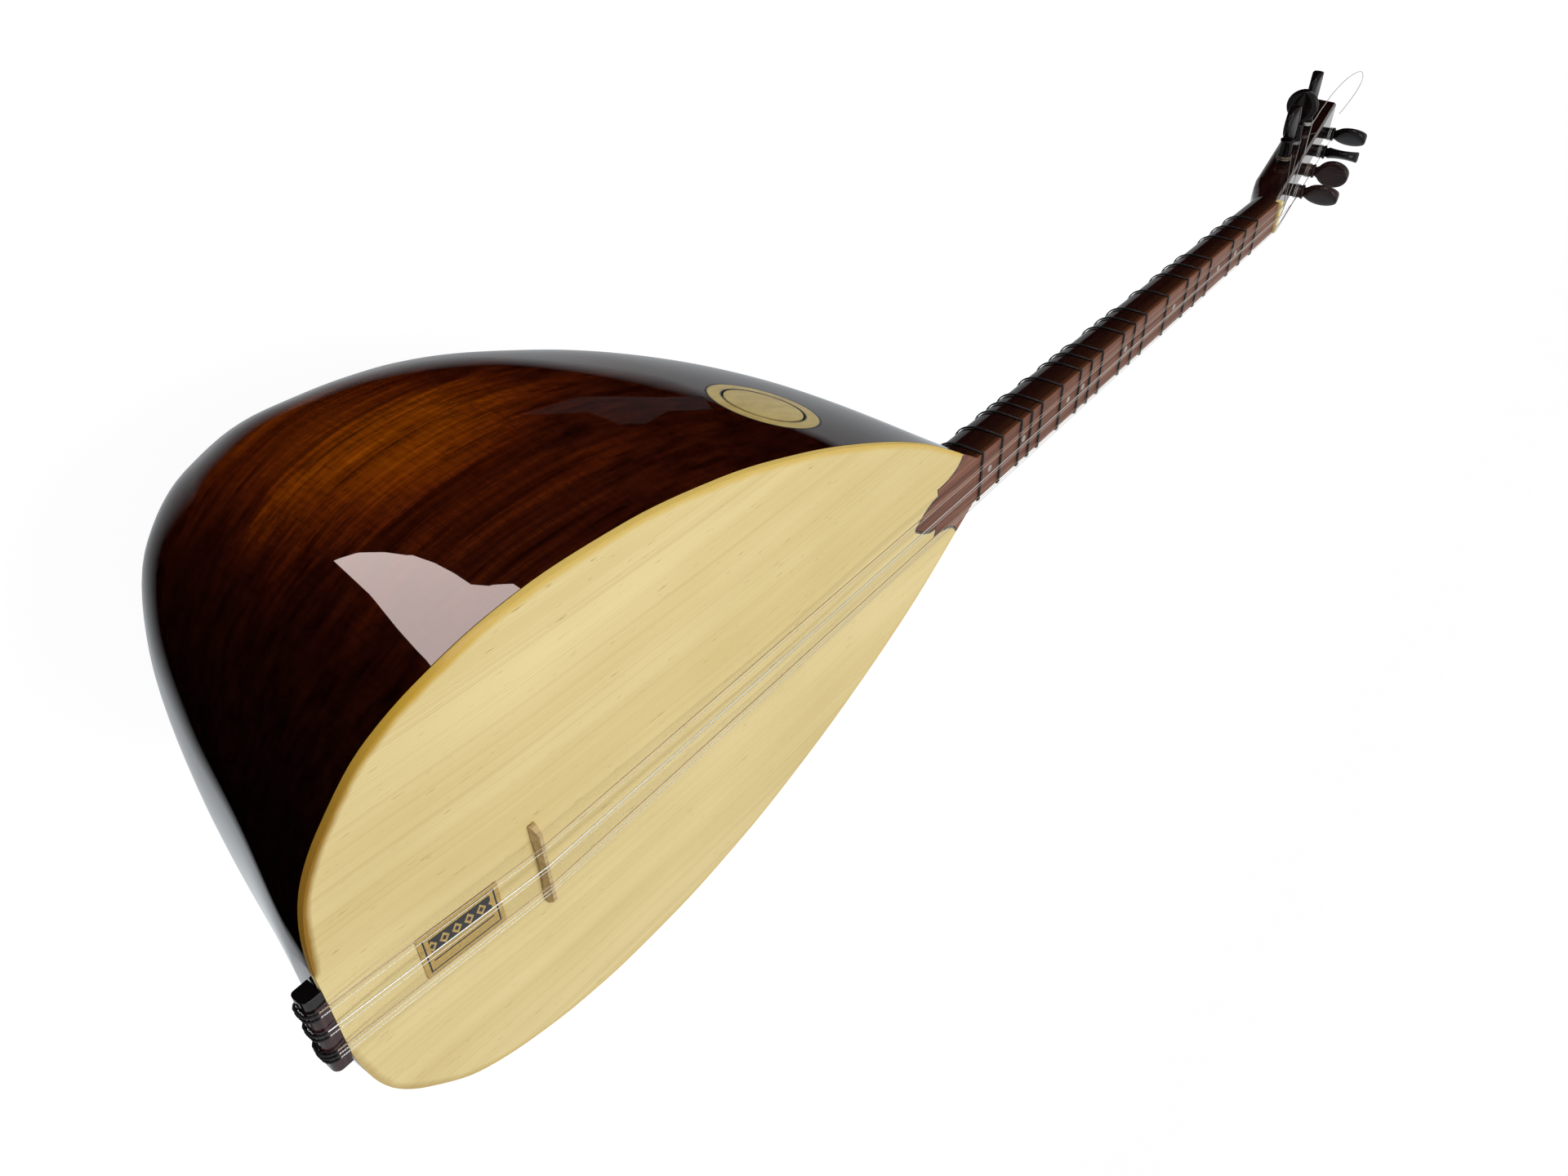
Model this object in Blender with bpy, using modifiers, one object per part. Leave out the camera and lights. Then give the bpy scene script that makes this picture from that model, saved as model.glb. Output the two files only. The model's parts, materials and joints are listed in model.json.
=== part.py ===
# Short-necked long lute: carved bowl, spruce soundboard, nineteen tied frets, seven strings on friction pegs.
# Metres, +Z up. X runs along the strings towards the head, +Z is the playing side, the side pegs point to +Y.

import math

import bmesh
import bpy
from mathutils import Matrix, Vector

# Fits
CLEARANCE = 0.0003
WIRE_GAP = 0.00045
WELD = 1e-6

# Strings and frets
SCALE_LENGTH = 0.698
FRET_RATIOS = (
    18 / 17, 12 / 11, 9 / 8, 81 / 68, 27 / 22, 81 / 64, 4 / 3, 24 / 17, 16 / 11, 3 / 2,
    27 / 17, 18 / 11, 27 / 16, 16 / 9, 32 / 17, 64 / 33, 2 / 1, 36 / 17, 9 / 4,
)
FRET_WIDTH = 0.0016
FRET_THICKNESS = 0.0009
PLAIN_RADIUS = 0.0002
WOUND_RADIUS = 0.0003
WINDING_LOOPS = 3
LOOP_POINTS = 24
COURSE_NUT_Y = (0.0085, 0.0069, 0.0009, -0.0007, -0.0062, -0.0078, -0.0094)
COURSE_BRIDGE_Y = (0.0137, 0.0112, 0.0018, -0.0003, -0.0093, -0.0117, -0.0137)
COURSE_TAIL_Y = (0.0151, 0.0124, 0.0032, 0.0005, -0.0093, -0.0116, -0.0139)
WOUND_STRINGS = (0, 4)

# Neck and fingerboard
LAST_FRET_TO_BOWL = 0.0047
NECK_LENGTH = SCALE_LENGTH * (1 - 1 / FRET_RATIOS[-1]) + LAST_FRET_TO_BOWL
NUT_HALF_WIDTH = 0.0114
JOINT_HALF_WIDTH = 0.0143
NUT_DEPTH = 0.0215
JOINT_DEPTH = 0.0276
NECK_ROUNDNESS = 2.6
FINGERBOARD_THICKNESS = 0.0030
TENON_LENGTH = 0.020
TENON_WIDTH = 0.012
TENON_DEPTH = 0.016
TENON_DROP = 0.001

# Nut and bridge
NUT_THICKNESS = 0.0045
NUT_RISE = 0.0019
NUT_ROUND = 0.0006
BRIDGE_HEIGHT = 0.0048
BRIDGE_OFFSET = -0.0024
BRIDGE_FORWARD = 0.0030
BRIDGE_HALF_LENGTH = 0.0229
BRIDGE_TOP_HALF = 0.0200
BRIDGE_SHOULDER = 0.35
BRIDGE_BASE_THICKNESS = 0.0032
BRIDGE_TOP_THICKNESS = 0.0016
BRIDGE_FOOT_LENGTH = 0.0075
BRIDGE_ARCH_RISE = 0.0014
GROOVE_DEPTH = 0.0005

# Bowl and soundboard
BOWL_LENGTH = 0.3897
BOWL_HALF_WIDTH = 0.1140
BOWL_DEPTH = 0.2420
BOWL_WALL = 0.0050
BOWL_BULGE = 0.058
BOWL_WAIST = 0.32
BOWL_ROUNDNESS = 2.2
BULGE_RISE_SHARE = 0.15
CAVITY_LID = 0.006
BLOCK_LENGTH = 0.0255
BOARD_THICKNESS = 0.0030
BOARD_DROP = 0.0080
BOARD_ARCH = 0.0045
ARCH_RISE_SHARE = 0.35
ARCH_FALL_SHARE = 0.25
PLAN_SHAPE = (
    (0.0, 0.0), (0.009, 0.027), (0.0216, 0.062), (0.0356, 0.100), (0.0572, 0.162), (0.1207, 0.333),
    (0.2224, 0.550), (0.3494, 0.765), (0.4765, 0.921), (0.6036, 1.006), (0.6925, 1.022), (0.756, 1.003),
    (0.8323, 0.938), (0.8958, 0.834), (0.9466, 0.656), (0.9797, 0.470), (1.0, 0.12),
)
KEEL_SHAPE = (
    (0.0, 0.0), (0.009, 0.055), (0.032, 0.16), (0.065, 0.29), (0.108, 0.485), (0.1715, 0.695), (0.248, 0.824),
    (0.375, 0.947), (0.527, 1.031), (0.654, 1.032), (0.756, 0.969), (0.8323, 0.847), (0.8958, 0.638),
    (0.9466, 0.362), (0.9797, 0.102), (1.0, -0.045),
)

# Tongue of the fingerboard let into the soundboard, measured from the neck joint
TONGUE_START = 0.0140
TONGUE_SHOULDER = 0.0348
TONGUE_SHOULDER_HALF = 0.0140
TONGUE_STEP = 0.0010
TONGUE_OGEE_HALF = 0.0095
TONGUE_TIP = 0.0523
RECESS_OVERRUN = 0.004
RECESS_DEPTH = 0.040

# Sound port in the bowl's shoulder
PORT_DISTANCE = 0.1098
PORT_DROP = 0.0425
PORT_RADIUS = 0.0266
PORT_RING_WIDTH = 0.0070
PORT_SLIT = 0.0010
PORT_BACK_LAP = 0.0040
PORT_BACK_THICKNESS = 0.0020

# Pieces on and under the soundboard
LABEL_START = 0.0190
LABEL_LENGTH = 0.0346
LABEL_WIDTH = 0.0234
LABEL_OFFSET = -0.0060
LABEL_THICKNESS = 0.0004
BRACE_PLACES = (0.40, 0.60)
BRACE_WIDTH = 0.0060
BRACE_HEIGHT = 0.0120
BRACE_END_GAP = 0.002
BRACE_SCOOP = 0.45
END_BLOCK_LENGTH = 0.018
END_BLOCK_HALF = 0.0165
END_BLOCK_HEIGHT = 0.010
END_BLOCK_ROUND = 0.001

# Tailpiece and its cords
TAILPIECE_LENGTH = 0.0072
TAILPIECE_HALF = 0.0222
TAILPIECE_OFFSET = -0.0065
TAILPIECE_HEIGHT = 0.0078
TAILPIECE_ROUND = 0.0030
TAILPIECE_HEEL = 0.0018
TAILPIECE_BEVEL = 0.0007
CORD_RADIUS = 0.0006
CORD_START = 0.0055
STRING_START = 0.0018

# Head and pegs
HEAD_LENGTH = 0.2030
HEAD_TILT = math.radians(9.5)
HEAD_HALF_WIDTH = 0.0116
HEAD_DEPTH = 0.0230
HEAD_TIP_DEPTH = 0.0250
HEAD_BLEND = 0.030
HEAD_CHAMFER = 0.0015
HEAD_START_DROP = 0.0028
HEAD_ROUNDNESS = 5.0
FRONT_PEG_PLACES = (0.052, 0.093, 0.133, 0.172)
FRONT_PEG_TURNS = (127, 108, -22, 133)
SIDE_PEG_PLACES = (0.067, 0.099, 0.141)
SIDE_PEG_TURNS = (90, 8, 95)
SIDE_PEG_INSET = 0.0120
PEG_RADIUS = 0.0043
PEG_TAPER = 0.03
PEG_RECESS = 0.001
PEG_SIDES = 12
PEG_NECK = 0.0032
PEG_TAIL_CHAMFER = 0.0008
BEAD_RISE = 0.0007
BEAD_HALF = 0.0007
BEAD_FOOT = 0.0012
BEAD_DROP = 0.6
FRONT_STEMS = (0.0118, 0.0111, 0.0110, 0.0098)
SIDE_STEMS = (0.0190, 0.0200, 0.0205)
PADDLE_RADIUS = 0.0112
PADDLE_HALF_THICKNESS = 0.0041
PADDLE_DISH = 0.25
PEG_HOLE_REACH = 0.004
WINDING_HEIGHT = 0.0066


def smooth_through(points, x):
    # Monotone cubic curve through points sorted by x.
    count = len(points)
    if x <= points[0][0]:
        return points[0][1]
    if x >= points[-1][0]:
        return points[-1][1]
    steps = [points[i + 1][0] - points[i][0] for i in range(count - 1)]
    rises = [(points[i + 1][1] - points[i][1]) / steps[i] for i in range(count - 1)]
    slopes = [rises[0]]
    for i in range(1, count - 1):
        if rises[i - 1] * rises[i] <= 0:
            slopes.append(0.0)
            continue
        before = 2 * steps[i] + steps[i - 1]
        after = steps[i] + 2 * steps[i - 1]
        slopes.append((before + after) / (before / rises[i - 1] + after / rises[i]))
    slopes.append(rises[-1])
    i = max(k for k in range(count - 1) if points[k][0] <= x)
    t = (x - points[i][0]) / steps[i]
    start = (1 + 2 * t) * (1 - t) ** 2 * points[i][1] + t * (1 - t) ** 2 * steps[i] * slopes[i]
    end = t * t * (3 - 2 * t) * points[i + 1][1] + t * t * (t - 1) * steps[i] * slopes[i + 1]
    return start + end


def ease(t):
    t = min(max(t, 0.0), 1.0)
    return t * t * (3 - 2 * t)


def mix(a, b, t):
    return a + (b - a) * t


def signed_power(value, power):
    return math.copysign(abs(value) ** power, value)


# The instrument's surfaces. Distances run from the neck joint towards the tail.

def along_bowl(distance):
    return -NECK_LENGTH - distance


def plan_half_width(distance):
    rise = smooth_through(PLAN_SHAPE, distance / BOWL_LENGTH)
    return mix(JOINT_HALF_WIDTH, BOWL_HALF_WIDTH, rise)


def keel_depth(distance):
    start = JOINT_DEPTH - FINGERBOARD_THICKNESS - CLEARANCE
    return mix(start, BOWL_DEPTH, smooth_through(KEEL_SHAPE, distance / BOWL_LENGTH))


def board_rim(distance):
    return -BOARD_DROP * max(distance, 0.0) / BOWL_LENGTH


def board_top(distance, y):
    rise = ease((distance - TONGUE_TIP) / (ARCH_RISE_SHARE * BOWL_LENGTH))
    fall = ease((BOWL_LENGTH - distance) / (ARCH_FALL_SHARE * BOWL_LENGTH))
    swell = rise * fall
    across = 1 - (y / plan_half_width(distance)) ** 2
    return board_rim(distance) + BOARD_ARCH * swell * max(across, 0.0)


def bowl_rim(distance):
    return board_rim(distance) - BOARD_THICKNESS - CLEARANCE


def neck_half_width(x):
    return mix(NUT_HALF_WIDTH, JOINT_HALF_WIDTH, -x / NECK_LENGTH)


def neck_section(x, count):
    # Half superellipse under the fingerboard, from the +Y edge round the back to the -Y edge.
    half = neck_half_width(x)
    top = -FINGERBOARD_THICKNESS - CLEARANCE
    depth = mix(NUT_DEPTH, JOINT_DEPTH, -x / NECK_LENGTH) + top
    return superellipse(half, depth, NECK_ROUNDNESS, top, count)


def superellipse(half, depth, power, top, count):
    ring = []
    for i in range(count):
        angle = math.pi * i / (count - 1)
        y = half * signed_power(math.cos(angle), 2 / power)
        z = top - depth * abs(math.sin(angle)) ** (2 / power)
        ring.append((y, z))
    ring[0] = (half, top)
    ring[-1] = (-half, top)
    return ring


def bowl_section(distance, count, shrink=0.0, lid=0.0):
    # The bowl swells a little below its rim. shrink draws the section in, lid carries the edges straight up.
    rise = ease(distance / (BULGE_RISE_SHARE * BOWL_LENGTH))
    bulge = 1 + BOWL_BULGE * rise
    waist = BOWL_WAIST * rise
    power = mix(NECK_ROUNDNESS, BOWL_ROUNDNESS, rise)
    half = plan_half_width(distance) * (1 - shrink / BOWL_HALF_WIDTH)
    depth = keel_depth(distance) * (1 - shrink / BOWL_DEPTH)
    start = math.acos((1 / bulge) ** (power / 2))
    lift = math.sin(start) ** (2 / power) if start > 1e-6 else 1.0
    top = bowl_rim(distance)
    ring = [(half, top + lid)] if lid else []
    for i in range(count):
        angle = mix(-start, math.pi + start, i / (count - 1))
        y = half * bulge * signed_power(math.cos(angle), 2 / power)
        reach = abs(math.sin(angle)) ** (2 / power)
        if math.sin(angle) >= 0:
            down = mix(waist * depth, depth, reach)
        else:
            down = waist * depth * (1 - reach / lift)
        if i in (0, count - 1):
            y = math.copysign(half, y)
            down = 0.0
        ring.append((y, top - down))
    if lid:
        ring.append((-half, top + lid))
    return ring


def bowl_point(distance, drop):
    # The point of the outer surface on the +Y side that lies drop below the rim.
    rows = bowl_section(distance, 201)
    level = bowl_rim(distance) - drop
    low = next(i for i in range(200) if rows[i + 1][1] < level)
    share = (level - rows[low][1]) / (rows[low + 1][1] - rows[low][1])
    return Vector((along_bowl(distance), mix(rows[low][0], rows[low + 1][0], share), level))


def head_face(x):
    # Height of the head's front face.
    return -HEAD_START_DROP - math.tan(HEAD_TILT) * (x - head_start())


def head_start():
    return NUT_THICKNESS + 3 * CLEARANCE


# Mesh helpers

MATERIALS = {}


def material(name, colour, roughness, metallic=0.0):
    if name not in MATERIALS:
        made = bpy.data.materials.new(name)
        made.use_nodes = True
        shader = made.node_tree.nodes["Principled BSDF"]
        shader.inputs["Base Color"].default_value = (*colour, 1.0)
        shader.inputs["Roughness"].default_value = roughness
        shader.inputs["Metallic"].default_value = metallic
        MATERIALS[name] = made
    return MATERIALS[name]


def add_object(name, mesh, look, collection, smooth_angle=35):
    ob = bpy.data.objects.new(name, mesh)
    collection.objects.link(ob)
    mesh.materials.clear()
    mesh.materials.append(look)
    mesh.shade_smooth()
    mesh.set_sharp_from_angle(angle=math.radians(smooth_angle))
    return ob


def mesh_from(name, bm):
    bmesh.ops.recalc_face_normals(bm, faces=bm.faces)
    if bm.calc_volume(signed=True) < 0:
        bmesh.ops.reverse_faces(bm, faces=bm.faces)
    mesh = bpy.data.meshes.new(name)
    bm.to_mesh(mesh)
    bm.free()
    return mesh


def loft(name, rings, closed=False):
    # Skin between rings of equally many points, capped at both ends unless the run closes on itself.
    bm = bmesh.new()
    rows = [[bm.verts.new(point) for point in ring] for ring in rings]
    size = len(rows[0])
    spans = len(rows) if closed else len(rows) - 1
    for i in range(spans):
        a, b = rows[i], rows[(i + 1) % len(rows)]
        for j in range(size):
            k = (j + 1) % size
            bm.faces.new((a[j], a[k], b[k], b[j]))
    if not closed:
        bm.faces.new(rows[0])
        bm.faces.new(rows[-1])
    return mesh_from(name, bm)


def box_mesh(name, low, high):
    bm = bmesh.new()
    bmesh.ops.create_cube(bm, size=1.0)
    for vert in bm.verts:
        vert.co = Vector([mix(low[k], high[k], vert.co[k] + 0.5) for k in range(3)])
    return mesh_from(name, bm)


def slab(outline, thickness):
    # A flat outline in XY with half its thickness on either side, as a welded bmesh.
    curve = bpy.data.curves.new("slab", "CURVE")
    curve.dimensions = "2D"
    curve.fill_mode = "BOTH"
    curve.extrude = thickness / 2
    spline = curve.splines.new("POLY")
    spline.points.add(len(outline) - 1)
    for spot, (x, y) in zip(spline.points, outline):
        spot.co = (x, y, 0.0, 1.0)
    spline.use_cyclic_u = True
    ob = bpy.data.objects.new("slab", curve)
    bpy.context.scene.collection.objects.link(ob)
    graph = bpy.context.evaluated_depsgraph_get()
    mesh = bpy.data.meshes.new_from_object(ob.evaluated_get(graph))
    bpy.data.objects.remove(ob)
    bpy.data.curves.remove(curve)
    bm = bmesh.new()
    bm.from_mesh(mesh)
    bpy.data.meshes.remove(mesh)
    bmesh.ops.remove_doubles(bm, verts=bm.verts, dist=WELD)
    return bm


def round_edges(ob, width, segments=2, angle=40):
    bevel = ob.modifiers.new("Rounded edges", "BEVEL")
    bevel.width = width
    bevel.segments = segments
    bevel.limit_method = "ANGLE"
    bevel.angle_limit = math.radians(angle)


def cone_mesh(name, low_radius, high_radius, low, high, sides):
    bm = bmesh.new()
    sizes = {"radius1": low_radius, "radius2": high_radius, "depth": high - low}
    bmesh.ops.create_cone(bm, cap_ends=True, segments=sides, **sizes)
    bmesh.ops.translate(bm, verts=bm.verts, vec=(0, 0, (low + high) / 2))
    return mesh_from(name, bm)


def boolean(target, tool, operation):
    tool.display_type = "WIRE"
    tool.hide_render = True
    cut = target.modifiers.new(operation.title(), "BOOLEAN")
    cut.operation = operation
    cut.object = tool
    cut.solver = "EXACT"
    return cut


def cutter(name, mesh, cutters):
    tool = bpy.data.objects.new(name, mesh)
    cutters.objects.link(tool)
    return tool


def tube(name, points, radius, look, collection, resolution=1):
    curve = bpy.data.curves.new(name, "CURVE")
    curve.dimensions = "3D"
    curve.bevel_depth = radius
    curve.bevel_resolution = resolution
    curve.use_fill_caps = True
    spline = curve.splines.new("POLY")
    spline.points.add(len(points) - 1)
    for spot, place in zip(spline.points, points):
        spot.co = (*place, 1.0)
    curve.materials.append(look)
    ob = bpy.data.objects.new(name, curve)
    collection.objects.link(ob)
    return ob


def offset_loop(points, distance):
    # Moves a closed loop of 2D points outwards (for a loop that runs clockwise) with mitred corners.
    moved = []
    count = len(points)
    for i in range(count):
        a, b, c = (Vector(points[(i + k) % count]) for k in (-1, 0, 1))
        first = (b - a).normalized()
        second = (c - b).normalized()
        normal_a = Vector((-first.y, first.x))
        normal_b = Vector((-second.y, second.x))
        middle = (normal_a + normal_b).normalized()
        moved.append(b + middle * distance / max(middle.dot(normal_a), 0.3))
    return moved


def smooth_route(points, per_span):
    # Catmull-Rom curve through hand-picked points.
    route = []
    ends = [points[0] * 2 - points[1]] + list(points) + [points[-1] * 2 - points[-2]]
    for i in range(1, len(ends) - 2):
        a, b, c, d = ends[i - 1:i + 3]
        for k in range(per_span):
            t = k / per_span
            route.append(0.5 * ((2 * b) + (c - a) * t + (2 * a - 5 * b + 4 * c - d) * t * t
                                + (3 * b - a - 3 * c + d) * t ** 3))
    route.append(ends[-2])
    return route


# Body

def bowl_rings(distances, count, shrink, lid):
    rings = []
    for distance in distances:
        rings.append([(along_bowl(distance), y, z) for y, z in bowl_section(distance, count, shrink, lid)])
    return rings


def shell_solid(name, shrink, lid, count=25, start=0.0):
    # The bowl's form as a solid, drawn in by shrink about its middle.
    middle = 0.5 * BOWL_LENGTH
    ratio = 1 - 2 * shrink / BOWL_LENGTH
    shares = (0, 0.012, 0.03, 0.055, 0.09, 0.13, 0.18, 0.25, 0.33, 0.42, 0.51, 0.6, 0.68, 0.75,
              0.81, 0.86, 0.9, 0.935, 0.965, 0.985, 1.0)
    rings = []
    for share in shares:
        source = share * BOWL_LENGTH
        place = middle + (source - middle) * ratio
        if place < start:
            continue
        ring = bowl_section(source, count, shrink, lid)
        drop = bowl_rim(place) - bowl_rim(source)
        rings.append([(along_bowl(place), y, z + drop) for y, z in ring])
    if start:
        source = middle + (start - middle) / ratio
        ring = bowl_section(source, count, shrink, lid)
        rings.insert(0, [(along_bowl(start), y, z) for y, z in ring])
    return loft(name, rings)


def port_frame():
    step = 0.002
    centre = bowl_point(PORT_DISTANCE, PORT_DROP)
    lengthwise = bowl_point(PORT_DISTANCE + step, PORT_DROP) - bowl_point(PORT_DISTANCE - step, PORT_DROP)
    downwards = bowl_point(PORT_DISTANCE, PORT_DROP + step) - bowl_point(PORT_DISTANCE, PORT_DROP - step)
    return centre, downwards.cross(lengthwise).normalized()


def port_cylinder(name, radius, cutters, sides=40):
    centre, normal = port_frame()
    reach = 4 * BOWL_WALL
    mesh = cone_mesh(name, radius, radius, -reach, reach, sides)
    tool = cutter(name, mesh, cutters)
    tool.matrix_world = Matrix.Translation(centre) @ normal.to_track_quat("Z", "X").to_matrix().to_4x4()
    return tool


def make_bowl(collection, cutters):
    lacquer = material("bowl_lacquer", (0.10, 0.025, 0.01), 0.08)
    bowl = add_object("bowl", shell_solid("bowl", 0.0, 0.0), lacquer, collection, 50)
    hollow = shell_solid("bowl_cavity", BOWL_WALL, CAVITY_LID, start=BLOCK_LENGTH)
    cavity = cutter("bowl_cavity", hollow, cutters)
    boolean(bowl, cavity, "DIFFERENCE")
    boolean(bowl, port_cylinder("port_hole", PORT_RADIUS, cutters), "DIFFERENCE")
    half = TENON_WIDTH / 2 + CLEARANCE
    bottom = neck_top() - TENON_DROP - TENON_DEPTH - CLEARANCE
    low = (-NECK_LENGTH - TENON_LENGTH - CLEARANCE, -half, bottom)
    high = (-NECK_LENGTH + TENON_DROP, half, TENON_DROP)
    boolean(bowl, cutter("tenon_pocket", box_mesh("tenon_pocket", low, high), cutters), "DIFFERENCE")


def make_port(collection, cutters):
    maple = material("port_maple", (0.72, 0.55, 0.30), 0.3)
    outer = PORT_RADIUS - CLEARANCE
    inner = outer - PORT_RING_WIDTH
    band = cutter("port_band", shell_solid("port_band", 0.0, 0.0), cutters)
    hollow = cutter("port_hollow", shell_solid("port_hollow", BOWL_WALL, CAVITY_LID), cutters)
    for name, radius, hole in (("port_ring", outer, inner), ("port_disc", inner - PORT_SLIT, None)):
        piece = port_cylinder(name, radius, cutters)
        cutters.objects.unlink(piece)
        collection.objects.link(piece)
        piece.data.materials.append(maple)
        boolean(piece, band, "INTERSECT")
        boolean(piece, hollow, "DIFFERENCE")
        if hole:
            boolean(piece, port_cylinder(name + "_hole", hole, cutters), "DIFFERENCE")
    backing = port_cylinder("port_backing", inner + PORT_BACK_LAP, cutters)
    cutters.objects.unlink(backing)
    collection.objects.link(backing)
    backing.data.materials.append(maple)
    depth = BOWL_WALL + CLEARANCE
    front = cutter("backing_front", shell_solid("backing_front", depth, 0.0), cutters)
    depth += PORT_BACK_THICKNESS
    rear = cutter("backing_rear", shell_solid("backing_rear", depth, CAVITY_LID), cutters)
    boolean(backing, front, "INTERSECT")
    boolean(backing, rear, "DIFFERENCE")


def board_ring(distance, columns, lift, thickness):
    half = plan_half_width(distance)
    top = []
    for i in range(columns + 1):
        y = mix(half, -half, i / columns)
        top.append((along_bowl(distance), y, board_top(distance, y) + lift))
    return top + [(x, y, z - thickness) for x, y, z in reversed(top)]


def tongue_outline(grow=0.0):
    # Half of the tongue, from the rim to its tip, as (distance from the joint, y).
    start_half = plan_half_width(TONGUE_START)
    points = []
    for i in range(9):
        angle = math.radians(90 * i / 8)
        run = TONGUE_SHOULDER - TONGUE_START
        fall = start_half - TONGUE_SHOULDER_HALF
        points.append((TONGUE_SHOULDER - run * math.cos(angle), start_half - fall * math.sin(angle)))
    step_end = TONGUE_SHOULDER - TONGUE_STEP
    for i in range(8):
        share = i / 7
        points.append((mix(step_end, TONGUE_TIP, share), TONGUE_OGEE_HALF * math.cos(math.pi / 2 * share)))
    points[-1] = (TONGUE_TIP, 0.0)
    grown = [(distance + grow, y + grow) for distance, y in points]
    grown[0] = (TONGUE_START, start_half + grow)
    grown[-1] = (TONGUE_TIP + grow, 0.0)
    return grown


def make_soundboard(collection, cutters):
    spruce = material("spruce", (0.78, 0.62, 0.33), 0.3)
    shares = [0.02 + 0.98 * (1 - math.cos(math.pi * i / 26)) / 2 for i in range(27)]
    rings = [board_ring(share * BOWL_LENGTH, 8, 0.0, BOARD_THICKNESS) for share in shares]
    board = add_object("soundboard", loft("soundboard", rings), spruce, collection)
    half = tongue_outline(CLEARANCE)
    wide = plan_half_width(TONGUE_START) + RECESS_OVERRUN
    outline = [(-NECK_LENGTH, wide), (along_bowl(TONGUE_START + CLEARANCE), wide)]
    outline += [(along_bowl(distance), y) for distance, y in half]
    outline += [(x, -y) for x, y in reversed(outline[:-1])]
    tool = cutter("tongue_recess", mesh_from("tongue_recess", slab(outline, RECESS_DEPTH)), cutters)
    boolean(board, tool, "DIFFERENCE")


def make_braces(collection):
    spruce = material("brace_spruce", (0.70, 0.52, 0.28), 0.6)
    for number, share in enumerate(BRACE_PLACES):
        distance = share * BOWL_LENGTH
        half = plan_half_width(distance) - BOWL_WALL - BRACE_END_GAP
        rings = []
        for i in range(13):
            y = mix(half, -half, i / 12)
            ring = []
            for side, low in ((-1, 0), (1, 0), (1, 1), (-1, 1)):
                place = distance + side * BRACE_WIDTH / 2
                scoop = BRACE_SCOOP * abs(y / half) ** 4
                top = board_top(place, y) - BOARD_THICKNESS - CLEARANCE
                ring.append((along_bowl(place), y, top - low * BRACE_HEIGHT * (1 - scoop)))
            rings.append(ring)
        add_object(f"brace_{number + 1}", loft(f"brace_{number + 1}", rings), spruce, collection)


def make_end_block(collection):
    wood = material("block_wood", (0.45, 0.30, 0.17), 0.6)
    tail = BOWL_LENGTH - BOWL_WALL - 2 * CLEARANCE
    top = board_rim(tail) - BOARD_THICKNESS - 2 * CLEARANCE
    low = (along_bowl(tail), -END_BLOCK_HALF, top - END_BLOCK_HEIGHT)
    high = (along_bowl(tail - END_BLOCK_LENGTH), END_BLOCK_HALF, top)
    block = add_object("end_block", box_mesh("end_block", low, high), wood, collection)
    round_edges(block, END_BLOCK_ROUND)


def make_label(collection):
    gold = material("label_gold", (0.60, 0.42, 0.12), 0.35, 0.6)
    first = bridge_distance() + LABEL_START
    rings = []
    for i in range(4):
        distance = first + LABEL_LENGTH * i / 3
        top = []
        for j in range(7):
            y = LABEL_OFFSET + mix(LABEL_WIDTH / 2, -LABEL_WIDTH / 2, j / 6)
            top.append((along_bowl(distance), y, board_top(distance, y) + CLEARANCE + LABEL_THICKNESS))
        rings.append(top + [(x, y, z - LABEL_THICKNESS) for x, y, z in reversed(top)])
    add_object("label", loft("label", rings), gold, collection)


# Neck

def neck_top():
    return -FINGERBOARD_THICKNESS - CLEARANCE


def make_neck(collection, cutters):
    wood = material("neck_lacquer", (0.09, 0.028, 0.012), 0.12)
    end = NUT_THICKNESS + 2 * CLEARANCE
    start = -NECK_LENGTH + CLEARANCE
    rings = []
    for i in range(9):
        x = mix(start, end, i / 8)
        rings.append([(x, y, z) for y, z in neck_section(x, 19)])
    neck = add_object("neck", loft("neck", rings), wood, collection, 40)
    top = neck_top() - TENON_DROP
    low = (-NECK_LENGTH - TENON_LENGTH, -TENON_WIDTH / 2, top - TENON_DEPTH)
    high = (-NECK_LENGTH + TENON_DROP, TENON_WIDTH / 2, top)
    boolean(neck, cutter("tenon", box_mesh("tenon", low, high), cutters), "UNION")


def make_fingerboard(collection):
    rosewood = material("fingerboard_wood", (0.24, 0.12, 0.07), 0.3)
    half = [(-CLEARANCE, neck_half_width(0.0)), (-NECK_LENGTH, JOINT_HALF_WIDTH)]
    for share in (0.25, 0.5, 0.75):
        distance = TONGUE_START * share
        half.append((along_bowl(distance), plan_half_width(distance)))
    half += [(along_bowl(distance), y) for distance, y in tongue_outline()]
    outline = half + [(x, -y) for x, y in reversed(half[:-1])]
    bm = slab(outline, FINGERBOARD_THICKNESS)
    everything = bm.verts[:] + bm.edges[:] + bm.faces[:]
    bmesh.ops.bisect_plane(bm, geom=everything, dist=WELD, plane_co=(-NECK_LENGTH, 0, 0), plane_no=(1, 0, 0))
    for vert in bm.verts:
        vert.co.z += board_rim(-vert.co.x - NECK_LENGTH) - FINGERBOARD_THICKNESS / 2
    add_object("fingerboard", mesh_from("fingerboard", bm), rosewood, collection)


def fret_places():
    return [SCALE_LENGTH * (1 - 1 / ratio) for ratio in FRET_RATIOS]


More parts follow.
